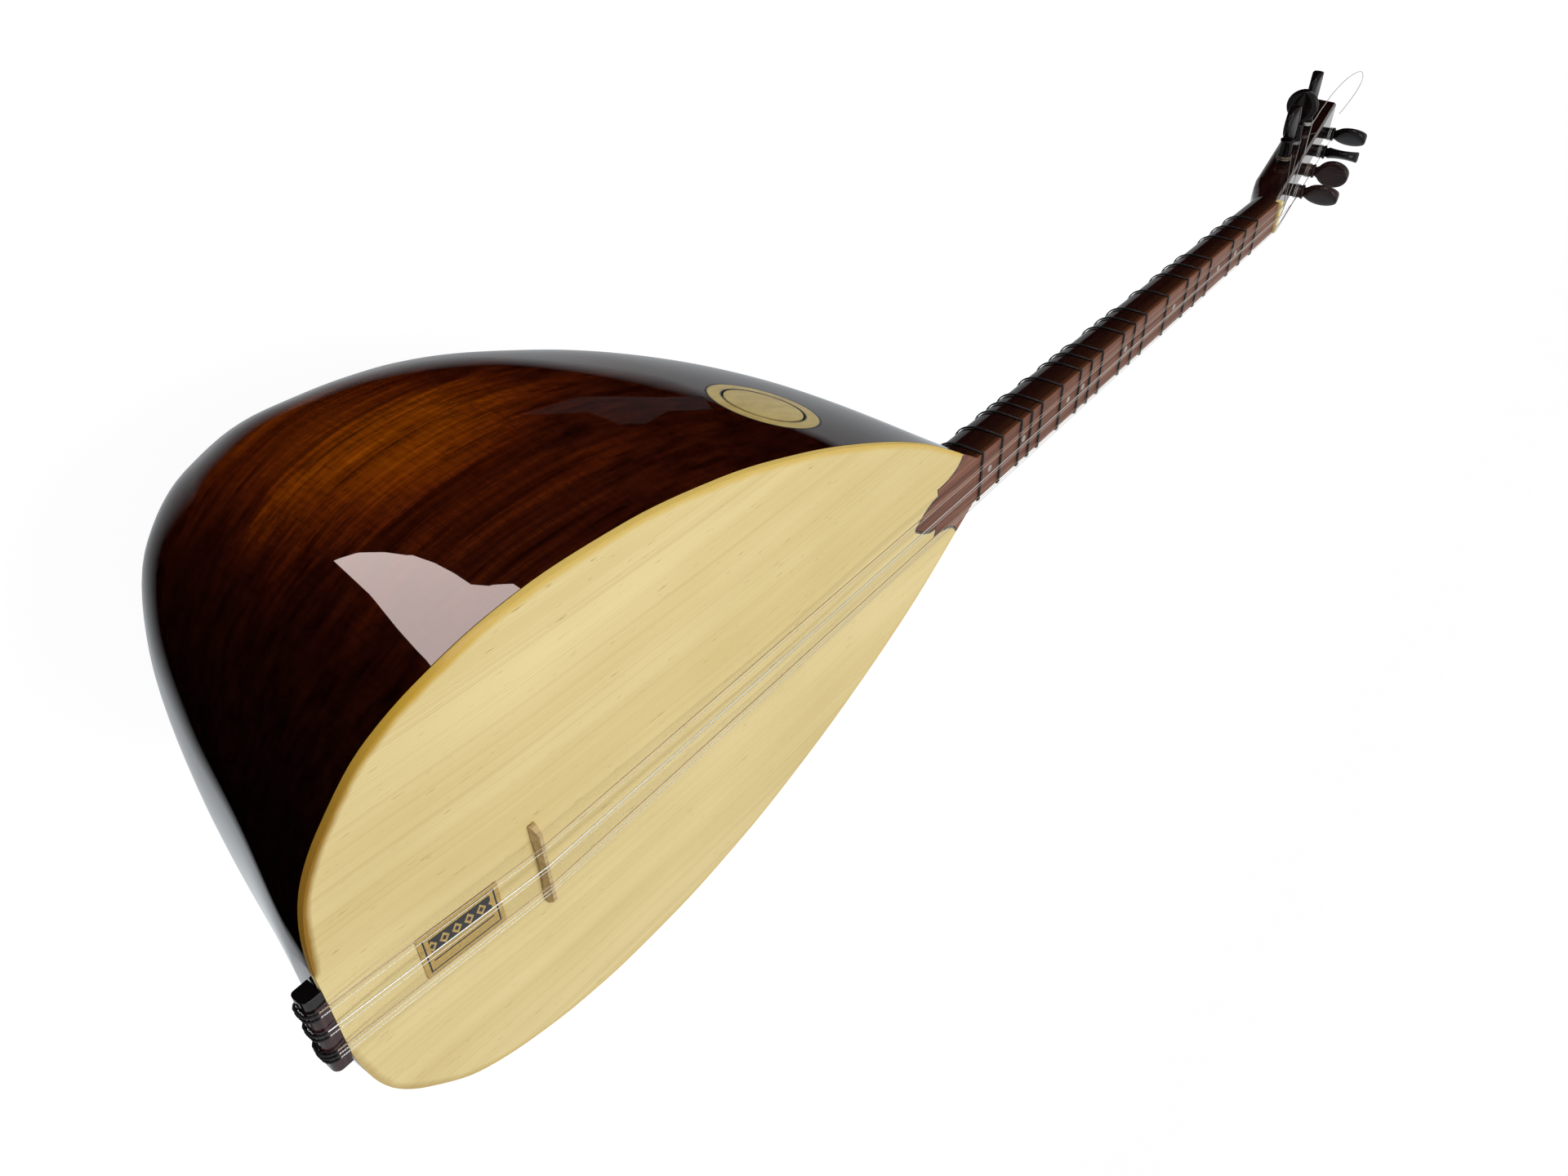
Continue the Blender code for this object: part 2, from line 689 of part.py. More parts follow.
def make_frets(collection):
    nylon = material("fret_nylon", (0.012, 0.012, 0.014), 0.35)
    for number, place in enumerate(fret_places()):
        x = -place
        half = neck_half_width(x)
        around = [(half, 0.0)] + neck_section(x, 15) + [(-half, 0.0)]
        inner = offset_loop(around, CLEARANCE)
        outer = offset_loop(around, CLEARANCE + FRET_THICKNESS)
        rings = []
        for a, b in zip(inner, outer):
            low, high = x - FRET_WIDTH / 2, x + FRET_WIDTH / 2
            rings.append([(low, a.x, a.y), (high, a.x, a.y), (high, b.x, b.y), (low, b.x, b.y)])
        name = f"fret_{number + 1:02d}"
        add_object(name, loft(name, rings, closed=True), nylon, collection)


def string_radius(number):
    return WOUND_RADIUS if number in WOUND_STRINGS else PLAIN_RADIUS


def nut_height():
    return NUT_RISE - GROOVE_DEPTH + WOUND_RADIUS + CLEARANCE


def bridge_distance():
    return SCALE_LENGTH - BRIDGE_FORWARD - NECK_LENGTH


def bridge_base():
    return board_top(bridge_distance(), 0.0) + CLEARANCE


def bridge_height():
    return bridge_base() + BRIDGE_HEIGHT - GROOVE_DEPTH + WOUND_RADIUS + CLEARANCE


def saddle_place(number):
    return BRIDGE_OFFSET + COURSE_BRIDGE_Y[number]


def groove_tools(name, centre_x, length, height, places, cutters):
    tools = []
    for number, y in enumerate(places):
        radius = string_radius(number) + CLEARANCE
        mesh = cone_mesh(f"{name}_{number + 1}", radius, radius, -length, length, 8)
        tool = cutter(f"{name}_{number + 1}", mesh, cutters)
        turn = Matrix.Rotation(math.pi / 2, 4, "Y")
        tool.matrix_world = Matrix.Translation((centre_x, y, height)) @ turn
        tools.append(tool)
    return tools


def make_nut(collection, cutters):
    bone = material("nut_bone", (0.86, 0.76, 0.46), 0.3)
    low = (0.0, -NUT_HALF_WIDTH, neck_top() + CLEARANCE)
    high = (NUT_THICKNESS, NUT_HALF_WIDTH, NUT_RISE)
    nut = add_object("nut", box_mesh("nut", low, high), bone, collection)
    round_edges(nut, NUT_ROUND)
    middle = NUT_THICKNESS / 2
    for tool in groove_tools("nut_groove", middle, NUT_THICKNESS, nut_height(), COURSE_NUT_Y, cutters):
        boolean(nut, tool, "DIFFERENCE")


def make_bridge(collection, cutters):
    wood = material("bridge_wood", (0.33, 0.17, 0.08), 0.4)
    base = bridge_base()
    middle = along_bowl(bridge_distance())
    inner = BRIDGE_HALF_LENGTH - BRIDGE_FOOT_LENGTH
    shoulder = (BRIDGE_HALF_LENGTH, BRIDGE_SHOULDER * BRIDGE_HEIGHT)
    half = [(BRIDGE_TOP_HALF, BRIDGE_HEIGHT), shoulder, (BRIDGE_HALF_LENGTH, 0.0), (inner, 0.0)]
    for share in (0.85, 0.6, 0.3):
        half.append((inner * share, BRIDGE_ARCH_RISE * math.sqrt(1 - share * share)))
    outline = half + [(-y, z) for y, z in reversed(half)]
    bm = slab(outline, BRIDGE_BASE_THICKNESS)
    for vert in bm.verts:
        y, z, across = vert.co
        thinning = mix(1.0, BRIDGE_TOP_THICKNESS / BRIDGE_BASE_THICKNESS, z / BRIDGE_HEIGHT)
        vert.co = (across * thinning + middle, y + BRIDGE_OFFSET, z + base)
    bridge = add_object("bridge", mesh_from("bridge", bm), wood, collection)
    places = [saddle_place(number) for number in range(len(COURSE_BRIDGE_Y))]
    height = bridge_height()
    for tool in groove_tools("bridge_groove", middle, BRIDGE_BASE_THICKNESS, height, places, cutters):
        boolean(bridge, tool, "DIFFERENCE")


# Tail

def tail_face():
    return along_bowl(BOWL_LENGTH) - CLEARANCE


def tailpiece_top():
    return board_rim(BOWL_LENGTH)


def corner_arc(x, z, radius, start, end, segments):
    # An arc that rounds the corner at (x, z) of an upright outline, on the side of the larger x.
    middle_x = x + radius
    middle_z = z - radius if min(start, end) < 180 else z + radius
    points = []
    for i in range(segments + 1):
        angle = math.radians(mix(start, end, i / segments))
        points.append((middle_x + radius * math.cos(angle), middle_z + radius * math.sin(angle)))
    return points


def make_tailpiece(collection):
    rosewood = material("tailpiece_wood", (0.10, 0.035, 0.03), 0.12)
    top = tailpiece_top()
    back = tail_face()
    front = back - TAILPIECE_LENGTH
    bottom = top - TAILPIECE_HEIGHT
    profile = [(back, top), (back, bottom)]
    profile += corner_arc(front, bottom, TAILPIECE_HEEL, 270, 180, 3)
    profile += corner_arc(front, top, TAILPIECE_ROUND, 180, 90, 5)
    bm = slab(profile, 2 * TAILPIECE_HALF)
    for vert in bm.verts:
        x, z, y = vert.co
        vert.co = (x, y + TAILPIECE_OFFSET, z)
    tailpiece = add_object("tailpiece", mesh_from("tailpiece", bm), rosewood, collection)
    round_edges(tailpiece, TAILPIECE_BEVEL)


def tail_place(number):
    return TAILPIECE_OFFSET + COURSE_TAIL_Y[number]


def cord_level():
    return tailpiece_top() + CLEARANCE + CORD_RADIUS


def make_cords(collection):
    # Each cord runs over the tailpiece's rounded edge, down its end and back underneath.
    black = material("cord_black", (0.015, 0.015, 0.017), 0.5)
    top = cord_level()
    back = tail_face()
    reach = CLEARANCE + CORD_RADIUS
    front = back - TAILPIECE_LENGTH - reach
    bottom = tailpiece_top() - TAILPIECE_HEIGHT - reach
    for number in range(len(COURSE_TAIL_Y)):
        y = tail_place(number)
        route = [(back - CORD_START, top)]
        route += corner_arc(front, top, TAILPIECE_ROUND + reach, 90, 180, 4)
        route += corner_arc(front, bottom, TAILPIECE_HEEL + reach, 180, 270, 3)
        route.append((back, bottom))
        points = [Vector((x, y, z)) for x, z in route]
        tube(f"tail_cord_{number + 1}", points, CORD_RADIUS, black, collection)


# Head and pegs

def head_section(x):
    share = ease((x - head_start()) / HEAD_BLEND)
    length_share = (x - head_start()) / HEAD_LENGTH
    half = mix(neck_half_width(head_start()), HEAD_HALF_WIDTH, share)
    top = head_face(x)
    start_depth = NUT_DEPTH - HEAD_START_DROP
    depth = mix(start_depth, mix(HEAD_DEPTH, HEAD_TIP_DEPTH, length_share), share)
    power = mix(NECK_ROUNDNESS, HEAD_ROUNDNESS, share)
    ring = superellipse(half, depth - HEAD_CHAMFER, power, top - HEAD_CHAMFER, 17)
    inset = half - HEAD_CHAMFER
    return [(inset, top)] + ring + [(-inset, top)]


def head_end():
    return head_start() + HEAD_LENGTH


def front_peg_frame(place):
    base = Vector((place, 0.0, head_face(place)))
    axis = Vector((math.sin(HEAD_TILT), 0.0, math.cos(HEAD_TILT)))
    return base, axis


def side_peg_frame(place):
    return Vector((place, HEAD_HALF_WIDTH, head_face(place) - SIDE_PEG_INSET)), Vector((0.0, 1.0, 0.0))


def peg_frames():
    # Name, base on the head's face, axis, stem above the face, depth through the head and turn of the handle.
    frames = []
    depth = HEAD_DEPTH - PEG_RECESS
    for number, (place, stem, turn) in enumerate(zip(FRONT_PEG_PLACES, FRONT_STEMS, FRONT_PEG_TURNS)):
        base, axis = front_peg_frame(place)
        frames.append((f"front_peg_{number + 1}", base, axis, stem, depth, turn))
    depth = 2 * HEAD_HALF_WIDTH - PEG_RECESS
    for number, (place, stem, turn) in enumerate(zip(SIDE_PEG_PLACES, SIDE_STEMS, SIDE_PEG_TURNS)):
        base, axis = side_peg_frame(place)
        frames.append((f"side_peg_{number + 1}", base, axis, stem, depth, turn))
    return frames


def peg_matrix(base, axis, turn):
    facing = axis.to_track_quat("Z", "Y").to_matrix().to_4x4()
    return Matrix.Translation(base) @ facing @ Matrix.Rotation(math.radians(turn), 4, "Z")


def peg_radius(height):
    return PEG_RADIUS + PEG_TAPER * min(height, WINDING_HEIGHT)


def peg_mesh(name, stem, depth):
    # Sections (height, half thickness, half width, roundness): turned shaft, bead and dished round handle.
    bead = stem - BEAD_DROP * PADDLE_HALF_THICKNESS
    rows = [
        (-depth, peg_radius(-depth) - PEG_TAIL_CHAMFER),
        (-depth + PEG_TAIL_CHAMFER, peg_radius(-depth)),
        (0.0, peg_radius(0.0)),
        (WINDING_HEIGHT, peg_radius(WINDING_HEIGHT)),
        (bead - BEAD_FOOT, PEG_RADIUS),
        (bead - BEAD_HALF, PEG_RADIUS + BEAD_RISE),
        (bead + BEAD_HALF, PEG_RADIUS + BEAD_RISE),
        (bead + BEAD_FOOT, PEG_NECK),
    ]
    sections = [(height, radius, radius, 2.0) for height, radius in rows]
    for degrees in (22, 40, 62, 88, 114, 138, 158, 168):
        angle = math.radians(degrees)
        thick = PADDLE_HALF_THICKNESS * (1 - PADDLE_DISH * math.sin(angle) ** 2)
        height = stem + PADDLE_RADIUS * (1 - math.cos(angle))
        sections.append((height, thick, PADDLE_RADIUS * math.sin(angle), mix(2.0, 3.0, math.sin(angle))))
    rings = []
    for height, thick, wide, power in sections:
        ring = []
        for i in range(PEG_SIDES):
            angle = 2 * math.pi * i / PEG_SIDES
            x = thick * signed_power(math.cos(angle), 2 / power)
            y = wide * signed_power(math.sin(angle), 2 / power)
            ring.append((x, y, height))
        rings.append(ring)
    return loft(name, rings)


def make_head(collection, cutters):
    wood = material("head_lacquer", (0.09, 0.028, 0.012), 0.12)
    shares = (0.0, 0.03, 0.06, 0.1, 0.15, 0.4, 0.7, 1.0)
    rings = []
    for share in shares:
        x = mix(head_start(), head_end(), share)
        rings.append([(x, y, z) for y, z in head_section(x)])
    head = add_object("head", loft("head", rings), wood, collection, 40)
    for name, base, axis, stem, depth, turn in peg_frames():
        low, high = -HEAD_TIP_DEPTH - PEG_HOLE_REACH, PEG_HOLE_REACH
        mesh = cone_mesh(name + "_hole", PEG_RADIUS + PEG_TAPER * low + CLEARANCE,
                         PEG_RADIUS + PEG_TAPER * high + CLEARANCE, low, high, 20)
        tool = cutter(name + "_hole", mesh, cutters)
        tool.matrix_world = peg_matrix(base, axis, turn)
        boolean(head, tool, "DIFFERENCE")


def make_pegs(collection):
    ebony = material("peg_ebony", (0.02, 0.013, 0.012), 0.15)
    for name, base, axis, stem, depth, turn in peg_frames():
        peg = add_object(name, peg_mesh(name, stem, depth), ebony, collection, 30)
        peg.matrix_world = peg_matrix(base, axis, turn)


# Strings

STRING_PEGS = (
    "side_peg_1", "side_peg_2", "side_peg_3", "front_peg_1", "front_peg_2", "front_peg_3", "front_peg_4",
)
CORNER_STRING = 2
CORNER_SHARE = 0.57
STRING_TAIL_END = 0.003
LOOSE_END = (
    (0.1600, 0.0205, -0.0340), (0.1850, 0.0275, -0.0345), (0.2160, 0.0300, -0.0350),
    (0.2460, 0.0265, -0.0350), (0.2565, 0.0182, -0.0348), (0.2475, 0.0112, -0.0342),
    (0.2285, 0.0055, -0.0338), (0.2125, 0.0025, -0.0335),
)


def winding(start, base, axis, radius, wire):
    # The wire meets the shaft at a tangent and takes its turns towards the face of the head.
    side = axis.cross(Vector((0, 1, 0))) if abs(axis.y) < 0.5 else Vector((1, 0, 0))
    side.normalize()
    other = axis.cross(side)
    height = WINDING_HEIGHT - wire
    centre = base + axis * height
    flat = start - centre
    heading = math.atan2(flat.dot(other), flat.dot(side))
    swing = math.acos(radius / math.hypot(flat.dot(side), flat.dot(other)))
    front_peg = abs(axis.y) < 0.5
    candidates = (heading - swing, heading + swing)
    wanted = Vector((0, -1, 0)) if front_peg else Vector((0, 0, 1))

    def spot(angle, level):
        return base + axis * level + (side * math.cos(angle) + other * math.sin(angle)) * radius

    angle = max(candidates, key=lambda a: (spot(a, height) - centre).dot(wanted))
    turn = 1 if (spot(angle + 0.01, height) - spot(angle, height)).x > 0 else -1
    pitch = 2 * wire + WIRE_GAP
    points = []
    steps = WINDING_LOOPS * LOOP_POINTS
    for i in range(steps + 1):
        points.append(spot(angle + turn * 2 * math.pi * i / LOOP_POINTS, height - pitch * i / LOOP_POINTS))
    return points


def winding_gap(points, wire):
    # Least clear distance between the turns of one winding.
    least = 1.0
    for i, a in enumerate(points):
        for b in points[i + LOOP_POINTS // 2:]:
            least = min(least, (a - b).length - 2 * wire)
    return least


def make_strings(collection):
    steel = material("string_steel", (0.75, 0.75, 0.74), 0.25, 1.0)
    frames = {frame[0]: frame for frame in peg_frames()}
    for number, peg_name in enumerate(STRING_PEGS):
        wire = string_radius(number)
        name, base, axis, stem, depth, turn = frames[peg_name]
        tail = Vector((tail_face() - CORD_START + STRING_START, tail_place(number), cord_level()))
        saddle = Vector((along_bowl(bridge_distance()), saddle_place(number), bridge_height()))
        nut_back = Vector((NUT_THICKNESS, COURSE_NUT_Y[number], nut_height()))
        nut_front = Vector((0.0, COURSE_NUT_Y[number], nut_height()))
        points = [tail, saddle, nut_front, nut_back]
        leave = nut_back
        if number == CORNER_STRING:
            corner_x = mix(NUT_THICKNESS, base.x, CORNER_SHARE)
            lift = wire + 2 * CLEARANCE - HEAD_CHAMFER / 2
            leave = Vector((corner_x, HEAD_HALF_WIDTH + lift, head_face(corner_x) + lift))
            points.append(leave)
        turns = winding(leave, base, axis, peg_radius(WINDING_HEIGHT) + CLEARANCE + wire, wire)
        print(f"string_{number + 1} winding least gap {winding_gap(turns, wire) * 1000:.2f} mm")
        points += turns
        if peg_name == "side_peg_3":
            points += smooth_route([Vector(place) for place in LOOSE_END], 3)
        else:
            points.append(turns[-1] + (turns[-1] - turns[-2]).normalized() * STRING_TAIL_END)
        tube(f"string_{number + 1}", points, wire, steel, collection)


def stand_on_origin(root, collection):
    # Moves the whole instrument so that the middle of its box's floor is the origin.
    bpy.context.view_layer.update()
    graph = bpy.context.evaluated_depsgraph_get()
    low = Vector((1e9, 1e9, 1e9))
    high = -low
    for ob in collection.objects:
        if ob.type not in {"MESH", "CURVE"}:
            continue
        solid = ob.evaluated_get(graph)
        mesh = solid.to_mesh()
        for vert in mesh.vertices:
            place = solid.matrix_world @ vert.co
            low = Vector(min(a, b) for a, b in zip(low, place))
            high = Vector(max(a, b) for a, b in zip(high, place))
        solid.to_mesh_clear()
    shift = Vector((-(low.x + high.x) / 2, -(low.y + high.y) / 2, -low.z))
    root.location = shift
    bpy.context.view_layer.update()
    print("shift", [round(value, 6) for value in shift], "size", [round(value, 5) for value in high - low])
    for name, base, axis, stem, depth, turn in peg_frames():
        print(name, [round(value, 6) for value in base + shift], [round(value, 6) for value in axis])
    tip = Vector((head_end(), 0.0, head_face(head_end()) - HEAD_TIP_DEPTH / 2)) + shift
    print("head_tip", [round(value, 6) for value in tip])


def main():
    for ob in list(bpy.data.objects):
        bpy.data.objects.remove(ob, do_unlink=True)
    collection = bpy.data.collections.new("Short-neck baglama")
    cutters = bpy.data.collections.new("Cutters")
    bpy.context.scene.collection.children.link(collection)
    bpy.context.scene.collection.children.link(cutters)
    make_bowl(collection, cutters)
    make_port(collection, cutters)
    make_soundboard(collection, cutters)
    make_braces(collection)
    make_end_block(collection)
    make_label(collection)
    make_neck(collection, cutters)
    make_fingerboard(collection)
    make_frets(collection)
    make_nut(collection, cutters)
    make_bridge(collection, cutters)
    make_tailpiece(collection)
    make_cords(collection)
    make_head(collection, cutters)
    make_pegs(collection)
    make_strings(collection)
    root = bpy.data.objects.new("baglama_frame", None)
    collection.objects.link(root)
    for owner in (collection, cutters):
        for ob in owner.objects:
            if ob is not root:
                ob.parent = root
    stand_on_origin(root, collection)


main()
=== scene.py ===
import json
import math

import bmesh
import bpy
from mathutils import Matrix, Vector
from mathutils.kdtree import KDTree

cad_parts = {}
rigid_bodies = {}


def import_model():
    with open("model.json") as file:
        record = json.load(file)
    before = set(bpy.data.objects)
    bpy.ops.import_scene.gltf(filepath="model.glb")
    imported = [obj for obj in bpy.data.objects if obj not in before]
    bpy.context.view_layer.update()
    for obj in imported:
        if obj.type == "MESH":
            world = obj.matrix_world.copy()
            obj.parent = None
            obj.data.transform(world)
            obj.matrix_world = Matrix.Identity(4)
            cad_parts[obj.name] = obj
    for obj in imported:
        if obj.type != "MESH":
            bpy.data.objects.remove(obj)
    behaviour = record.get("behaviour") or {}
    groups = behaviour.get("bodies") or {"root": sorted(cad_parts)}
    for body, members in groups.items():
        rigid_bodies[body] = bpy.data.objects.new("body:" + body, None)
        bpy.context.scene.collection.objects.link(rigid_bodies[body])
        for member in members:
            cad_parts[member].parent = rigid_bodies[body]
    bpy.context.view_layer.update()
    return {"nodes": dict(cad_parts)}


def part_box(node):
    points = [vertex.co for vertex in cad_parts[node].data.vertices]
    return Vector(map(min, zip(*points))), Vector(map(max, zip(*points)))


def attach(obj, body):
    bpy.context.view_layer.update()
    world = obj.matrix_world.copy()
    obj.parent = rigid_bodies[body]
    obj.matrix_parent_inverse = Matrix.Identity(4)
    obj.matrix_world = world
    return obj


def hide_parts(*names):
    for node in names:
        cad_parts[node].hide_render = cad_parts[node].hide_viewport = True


for ob in list(bpy.data.objects):
    bpy.data.objects.remove(ob, do_unlink=True)

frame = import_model()
settle = Vector((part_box("nut")[0].x, 0.0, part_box("fingerboard")[1].z))  # where the nut's front edge stands
gap = 0.0003  # the clearance between neighbouring solids
scene = bpy.context.scene

body = {
    "neckLength": 0.392478, "length": 0.3897, "halfWidth": 0.114, "depth": 0.242, "wall": 0.005,
    "bulge": 0.058, "waist": 0.32, "roundness": 2.2, "neckRoundness": 2.6, "neckBlend": 0.15,
    "blockLength": 0.0255, "swellStart": 0.35, "swellEnd": 0.25,
    "boardThickness": 0.003, "boardDrop": 0.008, "boardArch": 0.0045,
    "nutHalf": 0.0114, "jointHalf": 0.0143, "nutDepth": 0.0215, "jointDepth": 0.0276, "fingerboard": 0.003,
    "plan": ((0.0, 0.0), (0.009, 0.027), (0.0216, 0.062), (0.0356, 0.1), (0.0572, 0.162),
             (0.1207, 0.333), (0.2224, 0.55), (0.3494, 0.765), (0.4765, 0.921), (0.6036, 1.006),
             (0.6925, 1.022), (0.756, 1.003), (0.8323, 0.938), (0.8958, 0.834), (0.9466, 0.656),
             (0.9650, 0.570), (0.9797, 0.474), (0.9870, 0.402), (0.9930, 0.315), (0.9972, 0.215),
             (1.0, 0.11)),
    "keel": ((0.0, 0.0), (0.009, 0.055), (0.032, 0.16), (0.065, 0.29), (0.108, 0.485), (0.1715, 0.695),
             (0.248, 0.824), (0.375, 0.947), (0.527, 1.031), (0.654, 1.032), (0.756, 0.969), (0.8323, 0.847),
             (0.8958, 0.638), (0.9466, 0.362), (0.9797, 0.102), (1.0, -0.045)),
}
tongue = {"start": 0.014, "shoulder": 0.0348, "shoulderHalf": 0.014, "step": 0.001, "ogeeHalf": 0.0095,
          "tip": 0.0523, "shoulderSteps": 48, "ogeeSteps": 42}


def mix(a, b, t):
    return a + (b - a) * t


def ease(t):
    t = min(max(t, 0.0), 1.0)
    return t * t * (3 - 2 * t)


def smoothThrough(points, x):
    # monotone curve through points sorted by x
    if x <= points[0][0]:
        return points[0][1]
    if x >= points[-1][0]:
        return points[-1][1]
    steps = [b[0] - a[0] for a, b in zip(points, points[1:])]
    rises = [(b[1] - a[1]) / (b[0] - a[0]) for a, b in zip(points, points[1:])]
    slopes = [rises[0]]
    for i in range(1, len(steps)):
        if rises[i - 1] * rises[i] <= 0:
            slopes.append(0.0)
            continue
        before = 2 * steps[i] + steps[i - 1]
        after = steps[i] + 2 * steps[i - 1]
        slopes.append((before + after) / (before / rises[i - 1] + after / rises[i]))
    slopes.append(rises[-1])
    i = max(k for k in range(len(steps)) if points[k][0] <= x)
    t = (x - points[i][0]) / steps[i]
    start = (1 + 2 * t) * (1 - t) ** 2 * points[i][1] + t * (1 - t) ** 2 * steps[i] * slopes[i]
    return start + t * t * (3 - 2 * t) * points[i + 1][1] + t * t * (t - 1) * steps[i] * slopes[i + 1]


def signedPower(value, power):
    return math.copysign(abs(value) ** power, value)


def superellipse(half, depth, power, top, count):
    # the lower half of a rounded section, from +Y to -Y
    ring = []
    for i in range(count):
        angle = math.pi * i / (count - 1)
        drop = 0.0 if i in (0, count - 1) else depth * abs(math.sin(angle)) ** (2 / power)
        ring.append((half * signedPower(math.cos(angle), 2 / power), top - drop))
    return ring


def alongBowl(distance):
    return -body["neckLength"] - distance


def planHalf(distance):
    return mix(body["jointHalf"], body["halfWidth"], smoothThrough(body["plan"], distance / body["length"]))


def keelDepth(distance):
    start = body["jointDepth"] - body["fingerboard"] - gap
    return mix(start, body["depth"], smoothThrough(body["keel"], distance / body["length"]))


def boardRim(distance):
    return -body["boardDrop"] * max(distance, 0.0) / body["length"]


def boardTop(distance, y):
    length = body["length"]
    swell = ease((distance - tongue["tip"]) / (body["swellStart"] * length))
    swell *= ease((length - distance) / (body["swellEnd"] * length))
    across = 1 - (y / max(planHalf(distance), 1e-6)) ** 2
    return boardRim(distance) + body["boardArch"] * swell * max(across, 0.0)


def bowlRim(distance):
    return boardRim(distance) - body["boardThickness"] - gap


def neckHalf(x):
    return mix(body["nutHalf"], body["jointHalf"], -x / body["neckLength"])


def neckSection(x, count):
    top = -body["fingerboard"] - gap
    depth = mix(body["nutDepth"], body["jointDepth"], -x / body["neckLength"]) + top
    return superellipse(neckHalf(x), depth, body["neckRoundness"], top, count)


def bowlSection(distance, count, shrink=0.0, lid=0.0):
    # half a superellipse that swells below the rim, with a straight lid above it where one is asked for
    rise = ease(distance / (body["neckBlend"] * body["length"]))
    bulge = 1 + body["bulge"] * rise
    waist = body["waist"] * rise
    power = mix(body["neckRoundness"], body["roundness"], rise)
    half = planHalf(distance) * (1 - shrink / body["halfWidth"])
    depth = keelDepth(distance) * (1 - shrink / body["depth"])
    start = math.acos((1 / bulge) ** (power / 2))
    lift = math.sin(start) ** (2 / power) if start > 1e-6 else 1.0
    top = bowlRim(distance)
    ring = [(half, top + lid)] if lid else []
    for i in range(count):
        angle = mix(-start, math.pi + start, i / (count - 1))
        y = half * bulge * signedPower(math.cos(angle), 2 / power)
        reach = abs(math.sin(angle)) ** (2 / power)
        below = math.sin(angle) >= 0
        down = mix(waist * depth, depth, reach) if below else waist * depth * (1 - reach / lift)
        if i in (0, count - 1):
            y, down = math.copysign(half, y), 0.0
        ring.append((y, top - down))
    return ring + [(-half, top + lid)] if lid else ring


def bowlPoint(distance, drop):
    # the spot on the +Y side of the bowl that lies so far along it and below its rim
    rows = bowlSection(distance, 201)
    level = bowlRim(distance) - drop
    low = next(i for i in range(len(rows) - 1) if rows[i + 1][1] < level)
    share = (level - rows[low][1]) / (rows[low + 1][1] - rows[low][1])
    return Vector((alongBowl(distance), mix(rows[low][0], rows[low + 1][0], share), level))


def tongueOutline(grow):
    # a quarter of an ellipse to the shoulder and a quarter of a cosine wave to the tip
    startHalf = planHalf(tongue["start"])
    run, fall = tongue["shoulder"] - tongue["start"], startHalf - tongue["shoulderHalf"]
    points = []
    for i in range(tongue["shoulderSteps"] + 1):
        angle = math.pi / 2 * i / tongue["shoulderSteps"]
        points.append((tongue["shoulder"] - run * math.cos(angle), startHalf - fall * math.sin(angle)))
    stepEnd = tongue["shoulder"] - tongue["step"]
    for i in range(tongue["ogeeSteps"]):
        share = i / tongue["ogeeSteps"]
        y = tongue["ogeeHalf"] * math.cos(math.pi / 2 * share)
        points.append((mix(stepEnd, tongue["tip"], share), y))
    grown = [(distance + grow, y + grow) for distance, y in points[1:]]
    return [(tongue["start"], startHalf + grow)] + grown + [(tongue["tip"] + grow, 0.0)]


def finished(name, bm, material, nodes=(), carrier="instrument", angle=40):
    # sets a piece down on the imported model, gives it its body and hides the nodes that it stands for
    bmesh.ops.transform(bm, matrix=Matrix.Translation(settle), verts=bm.verts)
    mesh = bpy.data.meshes.new(name)
    bm.to_mesh(mesh)
    bm.free()
    mesh.materials.append(material)
    mesh.shade_smooth()
    mesh.set_sharp_from_angle(angle=math.radians(angle))
    ob = bpy.data.objects.new(name, mesh)
    scene.collection.objects.link(ob)
    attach(ob, carrier)
    if nodes:
        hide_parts(*nodes)
    return ob


def outward(bm):
    bmesh.ops.recalc_face_normals(bm, faces=bm.faces)
    if bm.calc_volume(signed=True) < 0:
        bmesh.ops.reverse_faces(bm, faces=bm.faces)
    return bm


def loft(rings):
    # a closed skin over rings of equal count, with a face at each end
    bm = bmesh.new()
    rows = [[bm.verts.new(point) for point in ring] for ring in rings]
    for a, b in zip(rows, rows[1:]):
        for j in range(len(a)):
            k = (j + 1) % len(a)
            bm.faces.new((a[j], a[k], b[k], b[j]))
    bm.faces.new(rows[0])
    bm.faces.new(rows[-1])
    return outward(bm)


def boxShape(low, high):
    bm = bmesh.new()
    bmesh.ops.create_cube(bm, size=1.0)
    for vert in bm.verts:
        vert.co = Vector([mix(low[k], high[k], vert.co[k] + 0.5) for k in range(3)])
    return bm


def cylinder(radius, low, high, sides, where):
    bm = bmesh.new()
    bmesh.ops.create_cone(bm, cap_ends=True, segments=sides, radius1=radius, radius2=radius, depth=high - low)
    bmesh.ops.transform(bm, matrix=where @ Matrix.Translation((0, 0, (low + high) / 2)), verts=bm.verts)
    return bm


def slab(outline, low, high):
    bm = bmesh.new()
    base = [bm.verts.new((x, y, low)) for x, y in outline]
    top = [bm.verts.new((x, y, high)) for x, y in outline]
    bm.faces.new(base)
    bm.faces.new(top)
    for i in range(len(base)):
        k = (i + 1) % len(base)
        bm.faces.new((base[i], base[k], top[k], top[i]))
    return outward(bm)


def meshObject(bm, name):
    mesh = bpy.data.meshes.new(name)
    bm.to_mesh(mesh)
    bm.free()
    ob = bpy.data.objects.new(name, mesh)
    scene.collection.objects.link(ob)
    return ob


def baked(ob):
    # the shape that an object's modifiers make, in place of the object
    graph = bpy.context.evaluated_depsgraph_get()
    mesh = bpy.data.meshes.new_from_object(ob.evaluated_get(graph))
    bpy.data.objects.remove(ob)
    done = bmesh.new()
    done.from_mesh(mesh)
    bpy.data.meshes.remove(mesh)
    return done


